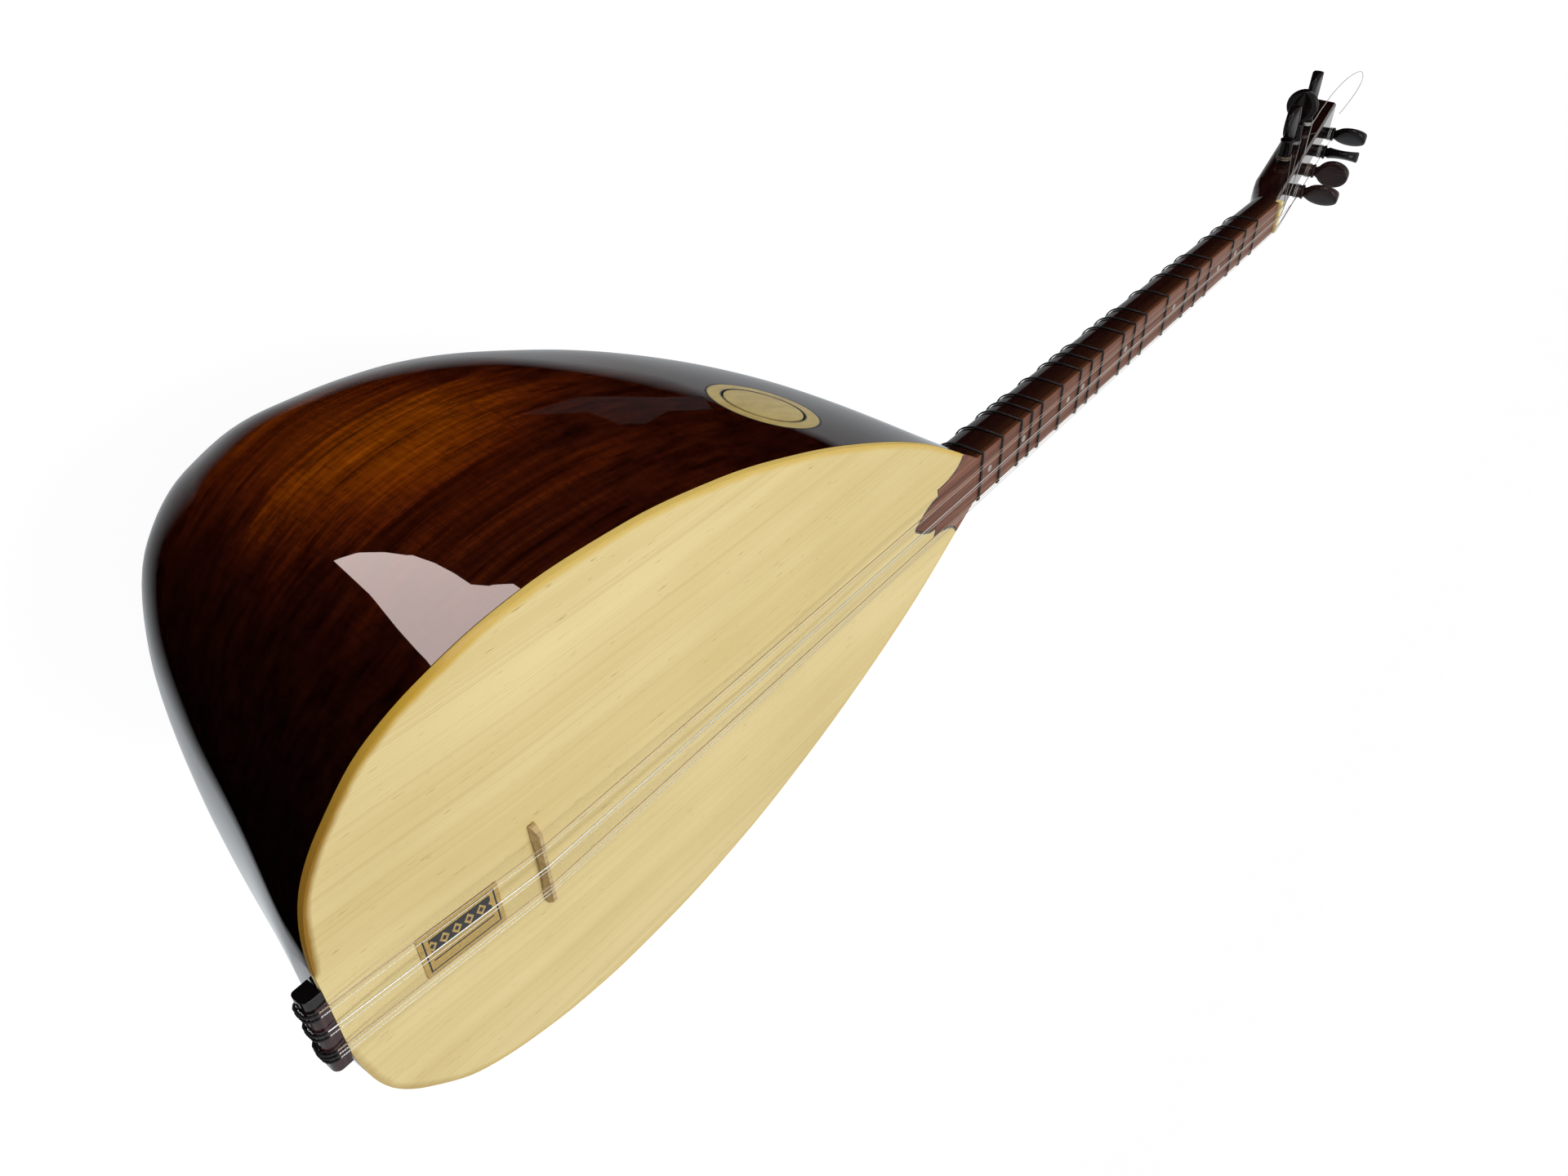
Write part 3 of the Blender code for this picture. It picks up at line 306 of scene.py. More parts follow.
def combine(bm, other, operation):
    ob, tool = meshObject(bm, "worked"), meshObject(other, "tool")
    modifier = ob.modifiers.new("combine", "BOOLEAN")
    modifier.operation = operation
    modifier.solver = "EXACT"
    modifier.object = tool
    done = baked(ob)
    bpy.data.objects.remove(tool)
    return done


def cut(bm, tool):
    return combine(bm, tool, "DIFFERENCE")


def keep(bm, tool):
    return combine(bm, tool, "INTERSECT")


def rounded(bm, width, segments, angle):
    ob = meshObject(bm, "worked")
    modifier = ob.modifiers.new("rounded", "BEVEL")
    modifier.width = width
    modifier.segments = segments
    modifier.limit_method = "ANGLE"
    modifier.angle_limit = math.radians(angle)
    return baked(ob)


def framesAlong(points):
    # each point of a route with two steady directions across it
    frames = []
    side = None
    for i, point in enumerate(points):
        ahead = (points[min(i + 1, len(points) - 1)] - points[max(i - 1, 0)]).normalized()
        if side is None:
            side = ahead.orthogonal().normalized()
        side = (side - ahead * side.dot(ahead)).normalized()
        frames.append((point, side, ahead.cross(side)))
    return frames


def around(side, other, angle):
    # the direction so far round from one side direction towards the other
    return side * math.cos(angle) + other * math.sin(angle)


def tubeAlong(points, radius, sides, bm=None):
    # a round wire, closed at both ends
    made = bm or bmesh.new()
    rows = []
    for point, side, other in framesAlong(points):
        ring = [point + around(side, other, 2 * math.pi * k / sides) * radius for k in range(sides)]
        rows.append([made.verts.new(spot) for spot in ring])
    for a, b in zip(rows, rows[1:]):
        for k in range(sides):
            n = (k + 1) % sides
            made.faces.new((a[k], a[n], b[n], b[k]))
    made.faces.new(list(reversed(rows[0])))
    made.faces.new(rows[-1])
    return made


def twistAlong(points, radius, bm, strands, pitch, sides, wireShare):
    # strands laid round one another inside one round envelope
    frames = framesAlong(points)
    run = [0.0]
    for a, b in zip(points, points[1:]):
        run.append(run[-1] + (b - a).length)
    for number in range(strands):
        route = []
        for (point, side, other), far in zip(frames, run):
            angle = 2 * math.pi * (far / pitch + number / strands)
            route.append(point + around(side, other, angle) * radius * (1 - wireShare))
        tubeAlong(route, radius * wireShare, sides, bm)
    return bm


def evenly(points, step):
    # the same route with a point every step
    route = [points[0].copy()]
    for a, b in zip(points, points[1:]):
        count = max(1, round((b - a).length / step))
        route += [a.lerp(b, k / count) for k in range(1, count + 1)]
    return route


def smoothRoute(points, perSpan):
    # a soft curve through every point
    route = []
    ends = [points[0] * 2 - points[1]] + list(points) + [points[-1] * 2 - points[-2]]
    for i in range(1, len(ends) - 2):
        a, b, c, d = ends[i - 1:i + 3]
        for k in range(perSpan):
            t = k / perSpan
            route.append(0.5 * ((2 * b) + (c - a) * t + (2 * a - 5 * b + 4 * c - d) * t * t
                                + (3 * b - a - 3 * c + d) * t ** 3))
    route.append(ends[-2])
    return route


class Signal:
    # a value in a node tree, for sums and comparisons that become Math nodes
    def __init__(self, socket):
        self.socket = socket

    def __add__(self, other):
        return reckon("ADD", self, other)

    def __sub__(self, other):
        return reckon("SUBTRACT", self, other)

    def __rsub__(self, other):
        return reckon("SUBTRACT", other, self)

    def __mul__(self, other):
        return reckon("MULTIPLY", self, other)

    def __truediv__(self, other):
        return reckon("DIVIDE", self, other)

    def __pow__(self, other):
        return reckon("POWER", self, other)

    def __lt__(self, other):
        return reckon("LESS_THAN", self, other)

    def __abs__(self):
        return reckon("ABSOLUTE", self)


def treeOf(*parts):
    return next(part.socket.id_data for part in parts if isinstance(part, Signal))


def connect(socket, value):
    # a link for a signal or a socket, and a plain setting for anything else
    if isinstance(value, Signal):
        value = value.socket
    if isinstance(value, bpy.types.NodeSocket):
        socket.id_data.links.new(value, socket)
    elif socket.type == "RGBA" and len(value) == 3:
        socket.default_value = (*value, 1.0)
    else:
        socket.default_value = value


def addNode(tree, kind, links, **settings):
    node = tree.nodes.new(kind)
    for key, value in settings.items():
        setattr(node, key, value)
    for key, value in links.items():
        connect(node.inputs[key], value)
    return node


def add(tree, kind, links, **settings):
    return addNode(tree, "ShaderNode" + kind, links, **settings)


def reckon(operation, *parts, clamp=False):
    node = add(treeOf(*parts), "Math", dict(enumerate(parts)), operation=operation, use_clamp=clamp)
    return Signal(node.outputs[0])


def objectSpace(tree):
    return Signal(add(tree, "TexCoord", {}).outputs["Object"])


def axes(vector):
    parts = add(treeOf(vector), "SeparateXYZ", {0: vector})
    return [Signal(output) for output in parts.outputs]


def place(tree, scale, location=(0, 0, 0), rotation=(0, 0, 0), where=None):
    links = {"Vector": where or objectSpace(tree), "Location": location, "Rotation": rotation, "Scale": scale}
    return Signal(add(tree, "Mapping", links).outputs[0])


def noise(tree, scale, detail=3.0, rough=0.55, distortion=0.0, **placed):
    # one number for the scale is the same along all three axes
    each = scale if isinstance(scale, tuple) else (scale,) * 3
    links = {"Vector": place(tree, each, **placed), "Scale": 1.0, "Detail": detail, "Roughness": rough,
             "Distortion": distortion}
    return Signal(add(tree, "TexNoise", links).outputs["Fac"])


def grain(tree, stretch, fine, location=(0, 0, 0)):
    # fibres that run along X
    return noise(tree, (stretch, fine, fine), 4.0, 0.6, location=location)


def ramp(value, *stops):
    node = add(treeOf(value), "ValToRGB", {"Fac": value})
    band = node.color_ramp
    while len(band.elements) > 1:
        band.elements.remove(band.elements[-1])
    for i, (at, colour) in enumerate(stops):
        spot = band.elements[0] if i == 0 else band.elements.new(at)
        spot.position = at
        spot.color = (colour, colour, colour, 1.0) if isinstance(colour, float) else (*colour, 1.0)
    return Signal(node.outputs["Color"])


def blend(factor, a, b, mode="MIX"):
    node = add(treeOf(factor, a, b), "Mix", {0: factor, 6: a, 7: b}, data_type="RGBA", blend_type=mode)
    return Signal(node.outputs[2])


def newMaterial(name, roughness=0.4, metallic=0.0, coat=0.0, coatRoughness=0.03, specular=0.3, coatIor=1.5):
    made = bpy.data.materials.new(name)
    made.use_nodes = True
    shader = made.node_tree.nodes["Principled BSDF"]
    values = {"Roughness": roughness, "Metallic": metallic, "Specular IOR Level": specular,
              "Coat Weight": coat, "Coat Roughness": coatRoughness, "Coat IOR": coatIor}
    for key, value in values.items():
        shader.inputs[key].default_value = value
    return made, made.node_tree, shader


def paint(shader, colour, roughness=None, height=None, strength=0.0, distance=0.0002):
    # joins a colour, and where given a roughness and a relief, to the shader
    connect(shader.inputs["Base Color"], colour)
    if roughness is not None:
        connect(shader.inputs["Roughness"], roughness)
    if height is not None:
        relief = add(treeOf(height), "Bump", {"Height": height, "Strength": strength, "Distance": distance})
        connect(shader.inputs["Normal"], relief.outputs[0])


bowlFigure = {
    "middle": -0.33, "half": 0.225, "least": 0.08, "tilt": 0.22,  # the arches that the figure follows
    "glow": (-0.384, 0.142), "glowLong": 0.088, "glowHigh": 0.085,  # where the stain is thinnest on each side
}


def makeBowlLacquer():
    # carved wood under a thick gloss: amber in the middle of each side, near black towards rim, neck and tail
    made, tree, shader = newMaterial("bowlLacquer", 0.5, coat=1.0, coatRoughness=0.015, specular=0.0)
    x, y, z = axes(objectSpace(tree))
    end = (x - bowlFigure["middle"]) / bowlFigure["half"]
    arch = reckon("MAXIMUM", 1.0 - end * end, bowlFigure["least"]) ** 0.5
    carved = Signal(add(tree, "CombineXYZ", {"X": x, "Y": y, "Z": (z - settle.z) / arch}).outputs[0])
    tilt = (0.0, bowlFigure["tilt"], 0.0)
    broad = noise(tree, (1.5, 22.0, 44.0), 4.0, 0.6, 0.3, rotation=tilt, where=carved)
    lines = noise(tree, (3.5, 150.0, 240.0), 5.0, 0.7, 0.1, rotation=tilt, where=carved)
    cloud = noise(tree, (5.0, 9.0, 12.0))
    ripple = noise(tree, (520.0, 60.0, 110.0), 2.0, rotation=tilt)
    pores = ramp(grain(tree, 60, 1500), (0.36, 1.0), (0.44, 0.0))
    along = (x - bowlFigure["glow"][0]) / bowlFigure["glowLong"]
    up = (z - bowlFigure["glow"][1]) / bowlFigure["glowHigh"]
    far = (along * along + up * up) ** 0.5 + (cloud - 0.5) * 0.5 + (broad - 0.5) * 2.0
    colour = ramp(far, (0.1, (0.165, 0.033, 0.0012)), (0.4, (0.110, 0.0185, 0.0010)),
                  (0.7, (0.064, 0.0090, 0.0014)), (1.0, (0.033, 0.0050, 0.0014)))
    deep = ramp(far * 0.5, (0.5, (1.0, 1.0, 1.0)), (1.0, (0.5, 0.5, 0.9)))
    tail = ramp(x * -10.0 - 4.2, (0.05, (1.0, 1.0, 1.0)), (0.35, (0.42, 0.40, 0.6)), (0.8, (0.14, 0.24, 0.5)))
    shade = ramp(lines, (0.34, (0.26, 0.20, 0.25)), (0.5, (0.9, 0.88, 0.9)), (0.66, (1.6, 1.7, 1.4)))
    glint = ramp(ripple, (0.35, (0.72, 0.70, 0.7)), (0.65, (1.25, 1.28, 1.2)))
    for share, layer in ((1.0, deep), (1.0, tail), (0.9, shade), (0.6, glint)):
        colour = blend(share, colour, layer, "MULTIPLY")
    colour = blend(pores * 0.4, colour, (0.006, 0.0015, 0.001))
    paint(shader, colour, lines * 0.2 + 0.4)
    return made


def makeSpruce():
    # uneven grain lines along the strings, small dark flecks, and a lacquer that yellows at the rim
    made, tree, shader = newMaterial("spruce", 0.5, coat=0.15, coatRoughness=0.12, specular=0.0)
    x, y = axes(objectSpace(tree))[:2]
    waver = noise(tree, (5.0, 14.0, 5.0), 2.0)
    fine = (reckon("SINE", (y + waver * 0.006) * 5200.0) * 0.5 + 0.5) ** 2.0
    broad = noise(tree, (1.6, 560.0, 1.6), 4.0, 0.75, 0.1)
    lines = ramp(broad, (0.5, 0.0), (0.62, 0.5), (0.72, 1.0))
    bands = noise(tree, (2.2, 60.0, 2.2), 3.0, 0.6, 0.3, location=(0.4, 0.1, 0.2))
    fibres = grain(tree, 90, 2600)
    cloud = noise(tree, (5.0, 9.0, 5.0))
    flecks = ramp(noise(tree, (110.0, 1100.0, 110.0), 2.0), (0.68, 0.0), (0.76, 1.0))
    colour = ramp(cloud, (0.3, (0.74, 0.60, 0.275)), (0.7, (0.89, 0.74, 0.385)))
    colour = blend(ramp(bands, (0.40, 0.0), (0.62, 0.34)), colour, (0.66, 0.50, 0.20))
    colour = blend(fine * 0.16, colour, (0.50, 0.36, 0.13))
    colour = blend(lines * 0.34, colour, (0.50, 0.35, 0.12))
    colour = blend(fibres * 0.16, colour, (0.58, 0.43, 0.18))
    colour = blend(flecks * 0.6, colour, (0.34, 0.21, 0.06))
    rim = Signal(add(tree, "Attribute", {}, attribute_name="rim").outputs["Fac"])
    rim = rim + noise(tree, 60.0, 2.0) * 0.0024 - 0.0012
    edge = ramp(rim * 100.0, (0.08, 1.0), (0.32, 0.0)) * ramp(y * 20.0 + 0.5, (0.1, 0.4), (0.9, 1.0))
    stain = ramp(x * -12.0 - 5.0, (0.0, (0.70, 0.49, 0.13)), (0.45, (0.56, 0.34, 0.045)),
                 (1.0, (0.30, 0.155, 0.02)))
    paint(shader, blend(edge, colour, stain), fibres * 0.16 + 0.34, fine + fibres, 0.10, 0.0003)
    return made


def makeFineWood(name, dark, middle, light, stretch=14, fine=260, roughness=0.4, coat=0.2, coatRoughness=0.1,
                 pore=0.5, relief=0.15, specular=0.2):
    # a close-grained hardwood with streaks and pores along X
    made, tree, shader = newMaterial(name, roughness, 0.0, coat, coatRoughness, specular)
    streaks = noise(tree, (stretch * 0.25, fine, fine), 4.0, 0.6, 0.4, rotation=(0.2, 0.0, 0.0))
    fibres = grain(tree, stretch * 4, fine * 6)
    pores = ramp(grain(tree, stretch * 6, fine * 9, (0.3, 0.1, 0.2)), (0.34, 1.0), (0.42, 0.0))
    colour = ramp(streaks, (0.25, dark), (0.5, middle), (0.75, light))
    colour = blend(fibres * 0.35, colour, dark)
    colour = blend(pores * pore, colour, tuple(0.4 * part for part in dark))
    paint(shader, colour, fibres * 0.2 + (roughness - 0.1), fibres - pores, relief)
    return made


def makeTailWood():
    # purple-brown rosewood that darkens to black at its far end
    made, tree, shader = newMaterial("tailRosewood", 0.4, coat=0.6, coatRoughness=0.05, specular=0.0)
    y = axes(objectSpace(tree))[1]
    streaks = noise(tree, (500.0, 14.0, 500.0), 4.0, 0.65, 0.2)
    pores = ramp(noise(tree, (2600.0, 180.0, 2600.0), 2.0), (0.34, 1.0), (0.42, 0.0))
    wood = ramp(streaks, (0.35, (0.016, 0.005, 0.007)), (0.5, (0.036, 0.013, 0.016)),
                (0.65, (0.068, 0.026, 0.030)))
    wood = blend(pores * 0.5, wood, (0.008, 0.003, 0.004))
    black = ramp(y * 100.0, (0.95, 0.0), (1.0, 1.0))
    paint(shader, blend(black, wood, (0.004, 0.003, 0.003)), height=pores, strength=0.1, distance=0.0001)
    return made


def makeNeckLacquer():
    # near black stain under gloss, lighter and browner towards the upper edge
    made, tree, shader = newMaterial("neckLacquer", 0.45, coat=0.8, coatRoughness=0.03, specular=0.0)
    z = axes(objectSpace(tree))[2]
    streaks = noise(tree, (6.0, 160.0, 160.0), 4.0, 0.6, 0.3)
    belowTop = (settle.z - body["fingerboard"] - z) * 150.0 + (streaks - 0.5) * 0.6
    dark = ramp(streaks, (0.35, (0.0085, 0.0024, 0.0020)), (0.65, (0.021, 0.0060, 0.0044)))
    colour = blend(ramp(belowTop, (0.0, 0.0), (0.9, 1.0)), (0.042, 0.0135, 0.006), dark)
    colour = blend(grain(tree, 60, 1200) * 0.25, colour, (0.006, 0.002, 0.002))
    paint(shader, colour, height=streaks, strength=0.01, distance=0.0003)
    return made


def makeFingerboardWood():
    # oiled rosewood on top, its sides stained with the neck and lighter and browner along the upper edge
    made, tree, shader = newMaterial("fingerRosewood", 0.5, specular=0.08)
    z = axes(objectSpace(tree))[2]
    streaks = noise(tree, (3.5, 300.0, 300.0), 4.0, 0.6, 0.4)
    fibres = grain(tree, 56, 1560)
    pores = ramp(grain(tree, 70, 2300, (0.3, 0.1, 0.2)), (0.36, 1.0), (0.44, 0.0))
    wood = ramp(streaks, (0.3, (0.10, 0.036, 0.023)), (0.5, (0.205, 0.084, 0.052)),
                (0.7, (0.33, 0.160, 0.105)))
    wood = blend(pores * 0.5, wood, (0.045, 0.020, 0.014))
    belowTop = (settle.z - z) * 420.0 + (streaks - 0.5) * 0.5
    side = ramp(belowTop, (0.0, (0.17, 0.060, 0.018)), (0.45, (0.085, 0.027, 0.010)),
                (1.0, (0.045, 0.0145, 0.0065)))
    facing = axes(Signal(add(tree, "NewGeometry", {}).outputs["Normal"]))[2]
    colour = blend(ramp(facing, (0.3, 0.0), (0.6, 1.0)), side, wood)
    paint(shader, colour, fibres * 0.2 + 0.3, fibres - pores, 0.12)
    return made


labelLook = {"border": 0.0022, "borderHalf": 0.00035, "inset": 0.0042, "band": 0.0035, "bandHalf": 0.0043,
             "cells": 190.0, "lozenge": 0.0034, "slope": 2.2, "goldEnd": 0.9, "coreEnd": 0.42,
             "rule": -0.0045, "ruleHalf": 0.0004}


def makeLabelPrint():
    # gold foil with a dark line round it, a dark band of plain lozenges and a thin rule
    made, tree, shader = newMaterial("labelPrint", 0.4, metallic=0.2, coat=0.1, coatRoughness=0.15)
    low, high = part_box("label")
    middle, half = (low + high) / 2, (high - low) / 2
    x, y = axes(objectSpace(tree))[:2]
    across, aside = abs(x - middle.x), y - middle.y
    inward = reckon("MINIMUM", half.x - across, half.y - abs(aside))
    line = abs(inward - labelLook["border"]) < labelLook["borderHalf"]
    within = across < half.x - labelLook["inset"]
    bandUp = abs(aside - labelLook["band"])
    band = (bandUp < labelLook["bandHalf"]) * within
    cell = abs(reckon("FRACT", x * labelLook["cells"]) - 0.5)
    spread = cell * labelLook["slope"] + bandUp / labelLook["lozenge"]
    ink = reckon("MAXIMUM", line, band * (1.0 - (spread < labelLook["goldEnd"])))
    ink = reckon("MAXIMUM", ink, band * (spread < labelLook["coreEnd"]))
    ink = reckon("MAXIMUM", ink, (abs(aside - labelLook["rule"]) < labelLook["ruleHalf"]) * within)
    foil = noise(tree, 900.0, 2.0)
    gold = ramp(foil, (0.3, (0.42, 0.28, 0.075)), (0.7, (0.54, 0.37, 0.11)))
    paint(shader, blend(ink, gold, (0.016, 0.016, 0.019)), height=foil, strength=0.05, distance=0.0001)
    return made


def makePlain(name, colour, other, scale, roughness, metallic=0.0, coat=0.0, relief=0.1, specular=0.3):
    # a plain stuff with a slight change of tone and a fine surface
    made, tree, shader = newMaterial(name, roughness, metallic, coat, 0.08, specular)
    fine = noise(tree, scale * 6, 2.0)
    tone = ramp(noise(tree, scale), (0.3, colour), (0.7, other))
    paint(shader, tone, fine * 0.16 + (roughness - 0.08), fine, relief, 0.0001)
    return made


def makeWoundWire():
    # wire with a fine metal winding: ribs across the string, with painted shade in the grooves between them
    made, tree, shader = newMaterial("woundWire", 0.42, metallic=1.0)
    links = {"Vector": objectSpace(tree), "Scale": 1100.0}
    ribs = Signal(add(tree, "TexWave", links, wave_type="BANDS", bands_direction="X").outputs["Fac"])
    # painted shade: darker in the grooves between the turns
    tone = ramp(ribs, (0.2, (0.16, 0.12, 0.09)), (0.8, (0.42, 0.34, 0.27)))
    paint(shader, tone, height=ribs, strength=0.1, distance=0.0001)
    return made


def makePegWood(name, dark, light):
    made, tree, shader = newMaterial(name, 0.4, coat=0.45, coatRoughness=0.04, specular=0.0, coatIor=1.36)
    turned = (0.4, 0.5, 0.0)
    streaks = noise(tree, (500.0, 500.0, 60.0), 4.0, 0.6, 0.5, rotation=turned)
    fine = noise(tree, (2400.0, 2400.0, 300.0), 2.0, rotation=turned)
    paint(shader, ramp(streaks, (0.35, dark), (0.75, light)), fine * 0.14 + 0.18, streaks, 0.06)
    return made


finish = {
    "bowl": makeBowlLacquer(),
    "spruce": makeSpruce(),
    "neck": makeNeckLacquer(),
    "rosewood": makeFingerboardWood(),
    "bridge": makeFineWood("bridgeWood", (0.40, 0.28, 0.13), (0.58, 0.43, 0.22), (0.70, 0.54, 0.31), 20, 400,
                           0.5, 0.0, specular=0.05),
    "tailpiece": makeTailWood(),
    "maple": makeFineWood("portMaple", (0.43, 0.30, 0.085), (0.54, 0.40, 0.12), (0.62, 0.48, 0.165), 12, 160,
                          0.4, 0.35, 0.08, 0.15, 0.05),
    "brace": makeFineWood("braceSpruce", (0.45, 0.30, 0.14), (0.60, 0.43, 0.21), (0.70, 0.53, 0.28), 10, 300,
                          0.7, 0.0),
    "block": makeFineWood("blockWood", (0.20, 0.11, 0.055), (0.31, 0.18, 0.09), (0.40, 0.25, 0.13), 16, 260,
                          0.7, 0.0),
    "label": makeLabelPrint(),
    "bone": makePlain("nutBone", (0.72, 0.56, 0.20), (0.82, 0.68, 0.32), 260.0, 0.32, coat=0.3),
    "nylon": makePlain("fretNylon", (0.003, 0.003, 0.004), (0.008, 0.008, 0.009), 900.0, 0.22, relief=0.05,
                       specular=0.25),
    "steel": makePlain("stringSteel", (0.40, 0.40, 0.38), (0.54, 0.54, 0.51), 1500.0, 0.42, 1.0, relief=0.01),
    "woundWire": makeWoundWire(),
    "cord": makePlain("cordBlack", (0.004, 0.004, 0.005), (0.012, 0.011, 0.012), 2600.0, 0.4, relief=0.3,
                      specular=0.2),
    "pearl": makePlain("pearl", (0.28, 0.25, 0.21), (0.46, 0.42, 0.36), 700.0, 0.3, coat=0.2, relief=0.05),
    "inlay": makePlain("blackInlay", (0.012, 0.010, 0.010), (0.030, 0.022, 0.018), 800.0, 0.3, coat=0.4),
    "pegBlack": makePegWood("pegBlack", (0.002, 0.0015, 0.0015), (0.008, 0.005, 0.005)),
    "pegBrown": makePegWood("pegBrown", (0.008, 0.004, 0.004), (0.036, 0.016, 0.013)),
}
print("finishes ready:", len(finish))

bowlLook = {
    "outerMesh": (110, 97), "innerMesh": (60, 61), "portMesh": (70, 73),  # rings, points across
    "portDistance": 0.1098, "portDrop": 0.0425, "portRadius": 0.0266, "portSides": 128,
    "ringWidth": 0.007, "slit": 0.001, "line": 0.0007, "backLap": 0.004, "backThickness": 0.002,
    "tenonLength": 0.020, "tenonWidth": 0.012, "tenonDepth": 0.016, "tenonDrop": 0.001,
    "lid": 0.006, "spill": 0.001,  # how far the cutting shapes run past the faces that they cut
}


def cosineShares(count):
    # shares from 0 to 1 that lie closer together near both ends
    return [(1 - math.cos(math.pi * i / count)) / 2 for i in range(count + 1)]


def shell(shrink, lid, mesh, start=0.0):
    # the bowl's form as a solid, drawn in by shrink about its middle
    rings, across = bowlLook[mesh]
    middle = body["length"] / 2
    ratio = 1 - 2 * shrink / body["length"]
    made = []
    for share in cosineShares(rings):
        source = share * body["length"]
        spot = middle + (source - middle) * ratio
        if spot < start:
            continue
        drop = bowlRim(spot) - bowlRim(source)
        made.append([(alongBowl(spot), y, z + drop) for y, z in bowlSection(source, across, shrink, lid)])
    if start:
        source = middle + (start - middle) / ratio
        made.insert(0, [(alongBowl(start), y, z) for y, z in bowlSection(source, across, shrink, lid)])
    return loft(made)


def portPlace():
    step = 0.002  # how far the surface is followed each way to find its slope
    distance, drop = bowlLook["portDistance"], bowlLook["portDrop"]
    lengthwise = bowlPoint(distance + step, drop) - bowlPoint(distance - step, drop)
    downwards = bowlPoint(distance, drop + step) - bowlPoint(distance, drop - step)
    normal = downwards.cross(lengthwise).normalized()
    facing = normal.to_track_quat("Z", "X").to_matrix().to_4x4()
    return Matrix.Translation(bowlPoint(distance, drop)) @ facing


def portBarrel(radius):
    return cylinder(radius, -4 * body["wall"], 4 * body["wall"], bowlLook["portSides"], portPlace())


def makeBowl():
    inside = shell(body["wall"], bowlLook["lid"], "innerMesh", body["blockLength"])
    bowl = cut(shell(0.0, 0.0, "outerMesh"), inside)
    bowl = cut(bowl, portBarrel(bowlLook["portRadius"]))
    half = bowlLook["tenonWidth"] / 2 + gap
    bottom = -body["fingerboard"] - gap - bowlLook["tenonDrop"] - bowlLook["tenonDepth"] - gap
    start, spill = -body["neckLength"], bowlLook["spill"]
    pocket = boxShape((start - bowlLook["tenonLength"] - gap, -half, bottom), (start + spill, half, spill))
    finished("carvedBowl", cut(bowl, pocket), finish["bowl"], ["bowl"], angle=50)


def makePort():
    # a ring with a dark line along both edges, a disc in it and a plate behind, all curved like the bowl
    outer = bowlLook["portRadius"] - gap
    inner = outer - bowlLook["ringWidth"]
    line, wall = bowlLook["line"], body["wall"]
    back = wall + gap

    def between(radius, hole=None, near=0.0, far=wall):
        made = keep(portBarrel(radius), shell(near, 0.0, "portMesh"))
        made = cut(made, shell(far, bowlLook["lid"], "portMesh"))
        return cut(made, portBarrel(hole)) if hole else made

    parts = (
        ("portRing", between(outer - line, inner + line), "maple", ["port_ring"]),
        ("portOuterLine", between(outer, outer - line), "inlay", []),
        ("portInnerLine", between(inner + line, inner), "inlay", []),
        ("portDisc", between(inner - bowlLook["slit"]), "maple", ["port_disc"]),
        ("portBacking", between(inner + bowlLook["backLap"], near=back, far=back + bowlLook["backThickness"]),
         "maple", ["port_backing"]),
    )
    for name, made, look, nodes in parts:
        finished(name, made, finish[look], nodes)


boardLook = {
    "rings": 90, "columns": 36, "firstShare": 0.02, "edgeRound": 0.0009, "rimSpots": 900,
    "notchMargin": 0.004, "notchReach": 0.02,  # the tongue's cutting shape, aside and up and down
    "line": 0.0007, "lineLift": 0.00004, "lineDepth": 0.0008, "lineFirst": 3,
}


def markRim(board):
    # how far each point lies from the plate's edge, for the lacquer
    spots = [share * body["length"] for share in cosineShares(boardLook["rimSpots"])]
    tree = KDTree(2 * len(spots))
    for i, distance in enumerate(spots):
        tree.insert((alongBowl(distance), planHalf(distance), 0.0), 2 * i)
        tree.insert((alongBowl(distance), -planHalf(distance), 0.0), 2 * i + 1)
    tree.balance()
    layer = board.verts.layers.float.new("rim")
    for vert in board.verts:
        vert[layer] = tree.find((vert.co.x, vert.co.y, 0.0))[2]


def makeSoundboard():
    # the plate follows the rim, its upper edge rounded over, and is let out for the fingerboard's tongue
    rings = []
    columns = boardLook["columns"]
    for share in cosineShares(boardLook["rings"]):
        distance = mix(boardLook["firstShare"], 1.0, share) * body["length"]
        across = [planHalf(distance) * math.cos(math.pi * k / columns) for k in range(columns + 1)]
        top = [(alongBowl(distance), y, boardTop(distance, y)) for y in across]
        rings.append(top + [(x, y, z - body["boardThickness"]) for x, y, z in reversed(top)])
    aside, reach = planHalf(tongue["start"]) + boardLook["notchMargin"], boardLook["notchReach"]
    outline = [(-body["neckLength"], aside), (alongBowl(tongue["start"] + gap), aside)]
    outline += [(alongBowl(d), y) for d, y in tongueOutline(gap)]
    outline += [(x, -y) for x, y in reversed(outline[:-1])]
    board = cut(loft(rings), slab(outline, -reach, reach))
    board = rounded(board, boardLook["edgeRound"], 3, 55)
    markRim(board)
    finished("soundboardPlate", board, finish["spruce"], ["soundboard"], angle=60)


def makeTongueLine():
    # the dark line that frames the tongue, let into the soundboard
    lift, depth = boardLook["lineLift"], boardLook["lineDepth"]
    pairs = list(zip(tongueOutline(gap), tongueOutline(gap + boardLook["line"])))[boardLook["lineFirst"]:]
    pairs += [((d, -y), (e, -w)) for (d, y), (e, w) in reversed(pairs[:-1])]
    rings = []
    for (d, y), (e, w) in pairs:
        corners = ((d, y, lift), (e, w, lift), (e, w, -depth), (d, y, -depth))
        rings.append([(alongBowl(a), b, boardTop(a, b) + c) for a, b, c in corners])
    finished("tongueLine", loft(rings), finish["inlay"])


makeBowl()
makePort()
makeSoundboard()
makeTongueLine()
print("bowl, port and soundboard made")

